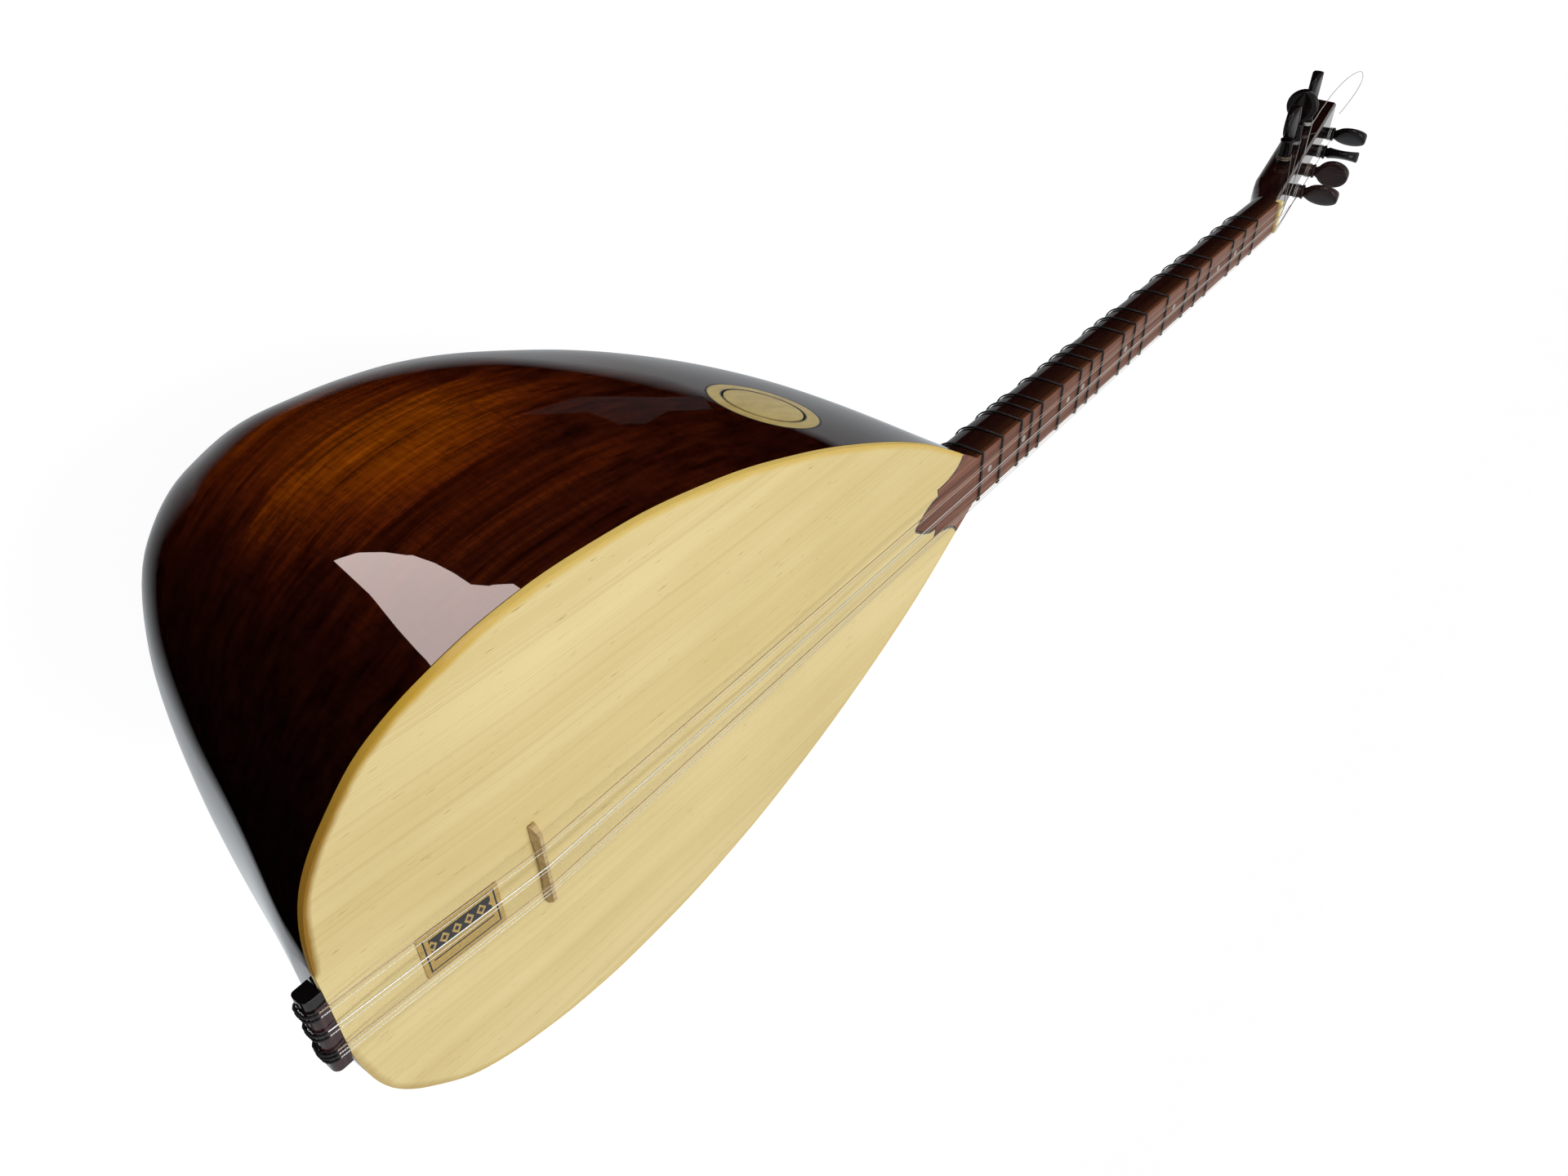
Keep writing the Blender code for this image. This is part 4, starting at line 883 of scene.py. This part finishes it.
nutLook = {"thickness": 0.0045, "rise": 0.0019, "groove": 0.0005}
neckLook = {"rings": 40, "across": 49}
fretLook = {
    "scale": 0.698, "cord": 0.0004, "apart": 0.00037, "clear": 0.00003, "sides": 10,
    "across": 41, "cornerStep": 12,  # points of the neck's section, degrees between points at a corner
    "ratios": (18 / 17, 12 / 11, 9 / 8, 81 / 68, 27 / 22, 81 / 64, 4 / 3, 24 / 17, 16 / 11, 3 / 2, 27 / 17,
               18 / 11, 27 / 16, 16 / 9, 32 / 17, 64 / 33, 2 / 1, 36 / 17, 9 / 4),
}
dotLook = {"between": ((19, 18), (17, 16), (14, 13), (13, 12), (10, 9), (7, 6), (4, 3), (3, 2)),
           "radius": 0.0019, "lift": 0.00006, "depth": 0.0006, "sides": 28}


def fretPlace(number):
    return -fretLook["scale"] * (1 - 1 / fretLook["ratios"][number - 1])


def makeNeck():
    start, end = -body["neckLength"] + gap, nutLook["thickness"] + 2 * gap
    rings = []
    for i in range(neckLook["rings"] + 1):
        x = mix(start, end, i / neckLook["rings"])
        rings.append([(x, y, z) for y, z in neckSection(x, neckLook["across"])])
    top = -body["fingerboard"] - gap - bowlLook["tenonDrop"]
    half = bowlLook["tenonWidth"] / 2
    tenon = boxShape((-body["neckLength"] - bowlLook["tenonLength"], -half, top - bowlLook["tenonDepth"]),
                     (-body["neckLength"] + bowlLook["spill"], half, top))
    finished("neckShaft", combine(loft(rings), tenon, "UNION"), finish["neck"], ["neck"])


def wrapLoop(section, away):
    # a loop that lies round a section at an even distance, turning softly at its corners
    loop = []
    count = len(section)
    for i in range(count):
        a, b, c = (Vector(section[(i + k) % count]) for k in (-1, 0, 1))
        first, second = (b - a).normalized(), (c - b).normalized()
        one, two = Vector((-first.y, first.x)), Vector((-second.y, second.x))
        turns = max(1, round(math.degrees(one.angle(two, 0.0)) / fretLook["cornerStep"]))
        for k in range(turns + 1 if turns > 1 else 1):
            way = one.slerp(two, k / turns) if turns > 1 else (one + two).normalized()
            loop.append(b + way * away)
    return loop


def makeFretTree():
    # sweeps a round cord along every loop, twice side by side
    tree = bpy.data.node_groups.new("tiedFrets", "GeometryNodeTree")
    for name, kind in (("Geometry", "Geometry"), ("Cord radius", "Float"), ("Half spacing", "Float"),
                       ("Material", "Material")):
        tree.interface.new_socket(name, in_out="INPUT", socket_type="NodeSocket" + kind)
    tree.interface.new_socket("Geometry", in_out="OUTPUT", socket_type="NodeSocketGeometry")
    given = tree.nodes.new("NodeGroupInput").outputs

    def step(kind, links, **settings):
        return addNode(tree, kind, links, **settings).outputs[0]

    loops = step("GeometryNodeMeshToCurve", {0: given["Geometry"]})
    circle = step("GeometryNodeCurvePrimitiveCircle",
                  {"Resolution": fretLook["sides"], "Radius": given["Cord radius"]})
    cord = step("GeometryNodeCurveToMesh", {"Curve": loops, "Profile Curve": circle})
    both = tree.nodes.new("GeometryNodeJoinGeometry")
    for sign in (-1, 1):
        aside = step("ShaderNodeMath", {0: given["Half spacing"], 1: sign}, operation="MULTIPLY")
        offset = step("ShaderNodeCombineXYZ", {"X": aside})
        connect(both.inputs[0], step("GeometryNodeTransform", {"Geometry": cord, "Translation": offset}))
    smooth = step("GeometryNodeSetShadeSmooth", {0: both.outputs[0]})
    real = step("GeometryNodeRealizeInstances", {0: smooth})
    dressed = step("GeometryNodeSetMaterial", {"Geometry": real, "Material": given["Material"]})
    connect(tree.nodes.new("NodeGroupOutput").inputs[0], dressed)
    return tree


def grown(bm, tree, values):
    # runs a Geometry Nodes tree over a shape and gives the plain mesh back
    ob = meshObject(bm, "guide")
    modifier = ob.modifiers.new("grown", "NODES")
    modifier.node_group = tree
    for item in tree.interface.items_tree:
        if item.in_out == "INPUT" and item.name in values:
            modifier[item.identifier] = values[item.name]
    return outward(baked(ob))


def makeFrets():
    bm = bmesh.new()
    numbers = range(1, len(fretLook["ratios"]) + 1)
    away = gap + fretLook["cord"] + fretLook["clear"]
    for number in numbers:
        x = fretPlace(number)
        section = [(neckHalf(x), 0.0)] + neckSection(x, fretLook["across"])[1:-1] + [(-neckHalf(x), 0.0)]
        ring = [bm.verts.new((x, y, z)) for y, z in wrapLoop(section, away)]
        for a, b in zip(ring, ring[1:] + ring[:1]):
            bm.edges.new((a, b))
    values = {"Cord radius": fretLook["cord"], "Half spacing": fretLook["apart"], "Material": finish["nylon"]}
    made = grown(bm, makeFretTree(), values)
    finished("tiedFrets", made, finish["nylon"], [f"fret_{n:02d}" for n in numbers], angle=60)


def makeDots():
    # pearl dots let into the fingerboard between chosen frets
    bm = bmesh.new()
    radius, lift, depth = dotLook["radius"], dotLook["lift"], dotLook["depth"]
    for a, b in dotLook["between"]:
        middle = ((fretPlace(a) + fretPlace(b)) / 2, 0.0, (lift - depth) / 2)
        bmesh.ops.create_cone(bm, cap_ends=True, segments=dotLook["sides"], radius1=radius, radius2=radius,
                              depth=lift + depth, matrix=Matrix.Translation(middle))
    finished("pearlDots", bm, finish["pearl"])


makeNeck()
makeFrets()
makeDots()
solidLooks = {  # the solids that show as they are packed, and the finish of each
    "fingerboard": "rosewood", "nut": "bone", "bridge": "bridge", "label": "label", "brace_1": "brace",
    "brace_2": "brace", "end_block": "block", "head": "neck", "tailpiece": "tailpiece",
}
for node, look in solidLooks.items():
    materials = frame["nodes"][node].data.materials
    materials.clear()
    materials.append(finish[look])
print("neck, frets and dots made")

headLook = {"tilt": math.radians(9.5), "half": 0.0116, "startDrop": 0.0028, "depth": 0.0230}
pegLook = {
    "radius": 0.0043, "taper": 0.03, "recess": 0.001, "tipRound": 0.0008, "windingHeight": 0.0066,
    "neck": 0.0032, "bead": 0.0007, "beadHalf": 0.0008, "beadFoot": 0.0012, "beadLeast": 0.35,
    "beadShare": 0.6, "handleRadius": 0.0112, "handleHalf": 0.0041, "dish": 0.25, "sides": 48,
    "sideInset": 0.012,
    "handleAngles": (22, 176), "roundFrom": 150, "handleSteps": 28,  # degrees along the handle's edge
    # for each peg its distance from the nut, the turn of its handle in degrees and the height of its stem
    "front": ((0.052, 127, 0.0118), (0.093, 108, 0.0111), (0.133, -22, 0.0110), (0.172, 133, 0.0098)),
    "side": ((0.067, 90, 0.0190), (0.099, 8, 0.0200), (0.141, 95, 0.0205)),
    "brown": ("front_peg_1", "front_peg_2"),
}


def headFace(x):
    start = nutLook["thickness"] + 3 * gap
    return -headLook["startDrop"] - math.tan(headLook["tilt"]) * (x - start)


def pegFrames():
    # for each peg the mouth of its hole, its axis, stem and depth, and its handle's turn
    made = {}
    tilt, half = headLook["tilt"], headLook["half"]
    for number, (where, turn, stem) in enumerate(pegLook["front"], 1):
        axis = Vector((math.sin(tilt), 0.0, math.cos(tilt)))
        depth = headLook["depth"] - pegLook["recess"]
        made[f"front_peg_{number}"] = (Vector((where, 0.0, headFace(where))), axis, stem, depth, turn)
    for number, (where, turn, stem) in enumerate(pegLook["side"], 1):
        mouth = Vector((where, half, headFace(where) - pegLook["sideInset"]))
        depth = 2 * half - pegLook["recess"]
        made[f"side_peg_{number}"] = (mouth, Vector((0.0, 1.0, 0.0)), stem, depth, turn)
    return made


def pegRadius(height):
    return pegLook["radius"] + pegLook["taper"] * min(height, pegLook["windingHeight"])


def pegSections(stem, depth):
    # height, half thickness, half width and power of each section, from the shaft's end to the handle's top
    half, wide, radius = pegLook["handleHalf"], pegLook["handleRadius"], pegLook["radius"]
    tip, end, level = pegLook["tipRound"], pegRadius(-depth), pegLook["windingHeight"]
    bead = stem - pegLook["beadShare"] * half
    rows = [(-depth, end - tip), (-depth + 0.25 * tip, end - 0.375 * tip), (-depth + tip, end),
            (0.0, pegRadius(0.0)), (level, pegRadius(level)), (bead - pegLook["beadFoot"], radius)]
    for i in range(9):
        angle = math.pi * i / 8
        rise = pegLook["bead"] * mix(pegLook["beadLeast"], 1.0, math.sin(angle))
        rows.append((bead - pegLook["beadHalf"] * math.cos(angle), radius + rise))
    rows.append((bead + pegLook["beadFoot"], pegLook["neck"]))
    sections = [(height, r, r, 2.0) for height, r in rows]
    first, last = pegLook["handleAngles"]
    for i in range(pegLook["handleSteps"] + 1):
        degrees = mix(first, last, i / pegLook["handleSteps"])
        angle = math.radians(degrees)
        thick = half * (1 - pegLook["dish"] * math.sin(angle) ** 2)
        past = max(degrees - pegLook["roundFrom"], 0.0) / (180 - pegLook["roundFrom"])
        thick *= math.sqrt(1 - past ** 2)
        height = stem + wide * (1 - math.cos(angle))
        sections.append((height, thick, wide * math.sin(angle), mix(2.0, 3.0, math.sin(angle))))
    return sections


def makePeg(name, base, axis, stem, depth, turn):
    rings = []
    for height, thick, across, power in pegSections(stem, depth):
        ring = []
        for i in range(pegLook["sides"]):
            angle = 2 * math.pi * i / pegLook["sides"]
            ring.append((thick * signedPower(math.cos(angle), 2 / power),
                         across * signedPower(math.sin(angle), 2 / power), height))
        rings.append(ring)
    bm = loft(rings)
    facing = axis.to_track_quat("Z", "Y").to_matrix().to_4x4()
    where = Matrix.Translation(base) @ facing @ Matrix.Rotation(math.radians(turn), 4, "Z")
    bmesh.ops.transform(bm, matrix=where, verts=bm.verts)
    look = finish["pegBrown"] if name in pegLook["brown"] else finish["pegBlack"]
    finished("turned_" + name, bm, look, [name], name, angle=35)


for name, values in pegFrames().items():
    makePeg(name, *values)
print("pegs made")

stringLook = {
    # how far to the side each string crosses the nut, the bridge and the tailpiece
    "nut": (0.0085, 0.0069, 0.0009, -0.0007, -0.0062, -0.0078, -0.0094),
    "bridge": (0.0113, 0.0088, -0.0006, -0.0027, -0.0117, -0.0141, -0.0161),
    "tail": (0.0086, 0.0059, -0.0033, -0.006, -0.0158, -0.0181, -0.0204),
    "pegs": ("side_peg_1", "side_peg_2", "side_peg_3", "front_peg_1", "front_peg_2", "front_peg_3",
             "front_peg_4"),
    "plain": 0.0002, "wound": 0.0003, "woundNumbers": (0, 4), "looseNumber": 2,
    "slim": 0.68, "looseDrawn": 1.5, "sides": 12,  # the wires are drawn slimmer, the loose one wider
    "tailStep": 0.01, "longStep": 0.02, "bridgeHeight": 0.0048, "bridgeForward": 0.003,
    "loops": 3, "loopPoints": 48, "wireGap": 0.00045, "endLength": 0.003,
    "cornerShare": 0.57, "chamfer": 0.0015, "looseSteps": 8,
    "looseEnd": ((0.16, 0.0205, -0.034), (0.185, 0.0275, -0.0345), (0.216, 0.03, -0.035),
                 (0.246, 0.0265, -0.035), (0.2565, 0.0182, -0.0348), (0.2475, 0.0112, -0.0342),
                 (0.2285, 0.0055, -0.0338), (0.2125, 0.0025, -0.0335)),
    "lockLength": 0.004, "lockStep": 0.0003, "lockWidth": 1.6,  # the twist at the tail
    "lockTwist": {"strands": 2, "pitch": 0.0018, "sides": 8, "wireShare": 0.42},
}
tailLook = {
    "length": 0.0072, "height": 0.0078, "round": 0.003, "heel": 0.0018, "cord": 0.0006, "cordStart": 0.0055,
    "stringStart": 0.0018, "step": 0.0005,
    "twist": {"strands": 3, "pitch": 0.004, "sides": 10, "wireShare": 0.52},
}


def wireRadius(number):
    return stringLook["wound"] if number in stringLook["woundNumbers"] else stringLook["plain"]


def tailEnd():
    return alongBowl(body["length"]) - gap


def cordLevel():
    return boardRim(body["length"]) + gap + tailLook["cord"]


def winding(start, base, axis, radius, wire):
    # the wire meets the shaft at a tangent and takes its turns towards the head's face
    front = abs(axis.y) < 0.5
    side = (axis.cross(Vector((0, 1, 0))) if front else Vector((1, 0, 0))).normalized()
    other = axis.cross(side)
    height = pegLook["windingHeight"] - wire
    centre = base + axis * height
    u, v = (start - centre).dot(side), (start - centre).dot(other)
    heading, swing = math.atan2(v, u), math.acos(radius / math.hypot(u, v))
    wanted = Vector((0, -1, 0)) if front else Vector((0, 0, 1))

    def spot(angle, level):
        return base + axis * level + around(side, other, angle) * radius

    angle = max((heading - swing, heading + swing), key=lambda a: (spot(a, height) - centre).dot(wanted))
    turn = 1 if (spot(angle + 0.01, height) - spot(angle, height)).x > 0 else -1
    pitch = 2 * wire + stringLook["wireGap"]
    count = stringLook["loopPoints"]
    return [spot(angle + turn * 2 * math.pi * i / count, height - pitch * i / count)
            for i in range(stringLook["loops"] * count + 1)]


def stringRoute(number):
    # from the tail over bridge and nut to the peg, with the loose end of one wire
    base, axis = pegFrames()[stringLook["pegs"][number]][:2]
    wire = wireRadius(number)
    loose = number == stringLook["looseNumber"]
    above = stringLook["wound"] + gap - nutLook["groove"]
    saddleX = stringLook["bridgeForward"] - fretLook["scale"]
    saddleZ = boardTop(-saddleX - body["neckLength"], 0.0) + gap + stringLook["bridgeHeight"] + above
    nutY, nutZ = stringLook["nut"][number], nutLook["rise"] + above
    tailX = tailEnd() - tailLook["cordStart"] + tailLook["stringStart"]
    points = [Vector((tailX, stringLook["tail"][number], cordLevel())),
              Vector((saddleX, stringLook["bridge"][number], saddleZ)),
              Vector((0.0, nutY, nutZ)), Vector((nutLook["thickness"], nutY, nutZ))]
    if loose:
        x = mix(nutLook["thickness"], base.x, stringLook["cornerShare"])
        away = wire + 2 * gap - stringLook["chamfer"] / 2
        points.append(Vector((x, headLook["half"] + away, headFace(x) + away)))
    turns = winding(points[-1], base, axis, pegRadius(pegLook["windingHeight"]) + gap + wire, wire)
    points += turns
    if loose:
        spots = [Vector(spot) for spot in stringLook["looseEnd"]]
        return points + smoothRoute(spots, stringLook["looseSteps"])
    return points + [turns[-1] + (turns[-1] - turns[-2]).normalized() * stringLook["endLength"]]


def arc(x, z, radius, first, last, count):
    angles = [math.radians(mix(first, last, i / count)) for i in range(count + 1)]
    return [(x + radius * math.cos(angle), z + radius * math.sin(angle)) for angle in angles]


def cordRoute(number):
    # from the string over the tailpiece's rounded edge, down its end and back underneath
    reach = gap + tailLook["cord"]
    top, back = cordLevel(), tailEnd()
    front = back - tailLook["length"] - reach
    bottom = boardRim(body["length"]) - tailLook["height"] - reach
    upper, heel = tailLook["round"] + reach, tailLook["heel"] + reach
    route = [(back - tailLook["cordStart"], top)]
    route += arc(front + upper, top - upper, upper, 90, 180, 12)
    route += arc(front + heel, bottom + heel, heel, 180, 270, 8)
    route.append((back, bottom))
    return [Vector((x, stringLook["tail"][number], z)) for x, z in route]


def makeString(number):
    route = stringRoute(number)
    points = evenly(route[:2], stringLook["tailStep"])[:-1]
    points += evenly(route[1:4], stringLook["longStep"])[:-1] + route[3:]
    drawn = stringLook["looseDrawn" if number == stringLook["looseNumber"] else "slim"] * wireRadius(number)
    made = tubeAlong(points, drawn, stringLook["sides"])
    ahead = (route[1] - route[0]).normalized()
    lock = evenly([route[0], route[0] + ahead * stringLook["lockLength"]], stringLook["lockStep"])
    twistAlong(lock, stringLook["lockWidth"] * wireRadius(number), made, **stringLook["lockTwist"])
    look = "woundWire" if number in stringLook["woundNumbers"] else "steel"
    finished(f"wire_{number + 1}", outward(made), finish[look], [f"string_{number + 1}"])


def makeTailCord(number):
    points = evenly(cordRoute(number), tailLook["step"])
    cord = outward(twistAlong(points, tailLook["cord"], bmesh.new(), **tailLook["twist"]))
    finished(f"laid_cord_{number + 1}", cord, finish["cord"], [f"tail_cord_{number + 1}"])


for number in range(len(stringLook["pegs"])):
    makeString(number)
    makeTailCord(number)
print("strings and tail cords made")

view = {"location": (-0.8535, 0.37996, 0.2519), "rotation": (-39.9599, -51.2018, -1.5122), "lens": 28.3553}
studio = {"floorSize": 12.0, "floor": 0.90, "floorWhite": 0.8, "white": 1.16, "room": 0.30, "backdrop": 1.0}
lamps = {
    "overhead": {"location": (-0.2, 0.1, 2.2), "target": (0, 0, 0.2), "size": (1.6, 1.2), "power": 26,
                 "colour": (1, 1, 1)},
    "window": {"location": (-0.6, 2.2, 0.9), "target": (0, 0, 0.15), "size": (0.9, 1.2), "power": 16,
               "colour": (0.96, 0.97, 1.0)},
}
sheets = {  # on the ground beside the bowl, seen only in the gloss
    "brightSheet": {
        "height": 0.0008, "strength": 1.0, "colour": (10.2, 8.2, 7.8),
        "outline": ((-0.43, 0.315), (-0.40, 0.335), (-0.37, 0.365), (-0.34, 0.405), (-0.32, 0.455),
                    (-0.30, 0.52), (-0.28, 0.60), (-0.25, 0.66), (-0.20, 0.70), (-0.17, 0.78), (-0.20, 1.1),
                    (-0.59, 1.2), (-0.54, 0.95), (-0.50, 0.76), (-0.465, 0.55), (-0.44, 0.41)),
    },
    "greySheet": {
        "height": 0.0008, "strength": 0.055, "colour": (0.9, 0.95, 1.0),
        "outline": ((-0.17, 0.20), (-0.09, 0.155), (0.02, 0.095), (0.05, 0.12), (0.0, 0.15),
                    (-0.015, 0.21), (-0.05, 0.22), (-0.10, 0.195)),
    },
}
ground = {  # painted reflections seen only in the gloss: black on the camera's side and past the tail, dim under the bowl as painted shade of the floor's shadow, and paler beyond it
    "size": 3.0, "height": 0.0003, "colour": (0.92, 0.97, 1.0), "strength": 0.42, "gain": 1.1,
    "deepStart": 0.05, "sideStart": 0.105, "sideFade": 0.03, "tailX": -0.455, "tailY": 0.08,
    "tailSlope": 0.686, "tailFade": 0.055,
}


def isSeen(tree):
    # 1 for a ray from the camera, off gloss or through clear stuff, 0 for one that lights the object
    rays = add(tree, "LightPath", {}).outputs
    kinds = ("Camera", "Glossy", "Transmission")
    camera, glossy, through = (Signal(rays[f"Is {kind} Ray"]) for kind in kinds)
    return reckon("MAXIMUM", reckon("MAXIMUM", camera, glossy), through)


def makeFloor():
    bm = bmesh.new()
    bmesh.ops.create_grid(bm, x_segments=1, y_segments=1, size=studio["floorSize"])
    floor = meshObject(bm, "floor")
    made, tree, shader = newMaterial("paleFloor", 0.8)
    connect(shader.inputs["Base Color"], (studio["floor"],) * 3)
    white = add(tree, "Emission", {"Color": (1, 1, 1), "Strength": studio["white"]})
    share = isSeen(tree) * studio["floorWhite"]
    both = add(tree, "MixShader", {0: share, 1: shader.outputs[0], 2: white.outputs[0]})
    connect(tree.nodes["Material Output"].inputs["Surface"], both.outputs[0])
    floor.data.materials.append(made)


def makeSheet(name, height, strength, colour, outline):
    # a flat sheet of light that only the gloss shows
    bm = bmesh.new()
    bm.faces.new([bm.verts.new((x, y, height)) for x, y in outline])
    sheet = meshObject(bm, name)
    made = bpy.data.materials.new(name)
    made.use_nodes = True
    tree = made.node_tree
    tree.nodes.remove(tree.nodes["Principled BSDF"])
    light = add(tree, "Emission", {"Color": colour, "Strength": strength})
    connect(tree.nodes["Material Output"].inputs["Surface"], light.outputs[0])
    sheet.data.materials.append(made)
    for kind in ("camera", "diffuse", "shadow", "transmission"):
        setattr(sheet, "visible_" + kind, False)
    return light


def makeGround():
    size = ground["size"]
    square = ((-size, -size), (size, -size), (size, size), (-size, size))
    light = makeSheet("dullGround", ground["height"], 0.0, ground["colour"], square)
    x, y = axes(objectSpace(light.id_data))[:2]
    side = reckon("DIVIDE", ground["sideStart"] - y, ground["sideFade"], clamp=True)
    past = x - ground["tailX"] - (y - ground["tailY"]) * ground["tailSlope"]
    tail = reckon("DIVIDE", past, ground["tailFade"], clamp=True)
    # painted shade for the reflections: dim under the bowl, paler further out
    level = reckon("MAXIMUM", ground["deepStart"] - y, 0.0) * ground["gain"] + ground["strength"]
    share = reckon("MINIMUM", side, tail) * reckon("MINIMUM", level, 1.0)
    connect(light.inputs["Strength"], share)


def makeWorld():
    # white where it is seen and dimmer where it lights the object
    scene.world = bpy.data.worlds.new("studio")
    scene.world.use_nodes = True
    tree = scene.world.node_tree
    room = tree.nodes["Background"]
    connect(room.inputs["Color"], (1, 1, 1))
    connect(room.inputs["Strength"], isSeen(tree) * (studio["backdrop"] - studio["room"]) + studio["room"])


def makeLamp(name, location, target, size, power, colour):
    lamp = bpy.data.lights.new(name, "AREA")
    lamp.shape = "RECTANGLE"
    lamp.size, lamp.size_y = size
    lamp.energy = power
    lamp.color = colour
    ob = bpy.data.objects.new(name, lamp)
    scene.collection.objects.link(ob)
    ob.location = location
    ob.rotation_euler = (Vector(target) - Vector(location)).to_track_quat("-Z", "Y").to_euler()


makeFloor()
makeGround()
for name, values in sheets.items():
    makeSheet(name, **values)
makeWorld()
for name, values in lamps.items():
    makeLamp(name, **values)

camera = bpy.data.objects.new("camera", bpy.data.cameras.new("camera"))
scene.collection.objects.link(camera)
camera.location = Vector(view["location"]) + settle
camera.rotation_euler = [math.radians(angle) for angle in view["rotation"]]
camera.data.lens = view["lens"]
camera.data.sensor_width = 36
camera.data.clip_start = 0.01
scene.camera = camera
scene.view_settings.view_transform = "Standard"
print("room, lamps and camera ready")
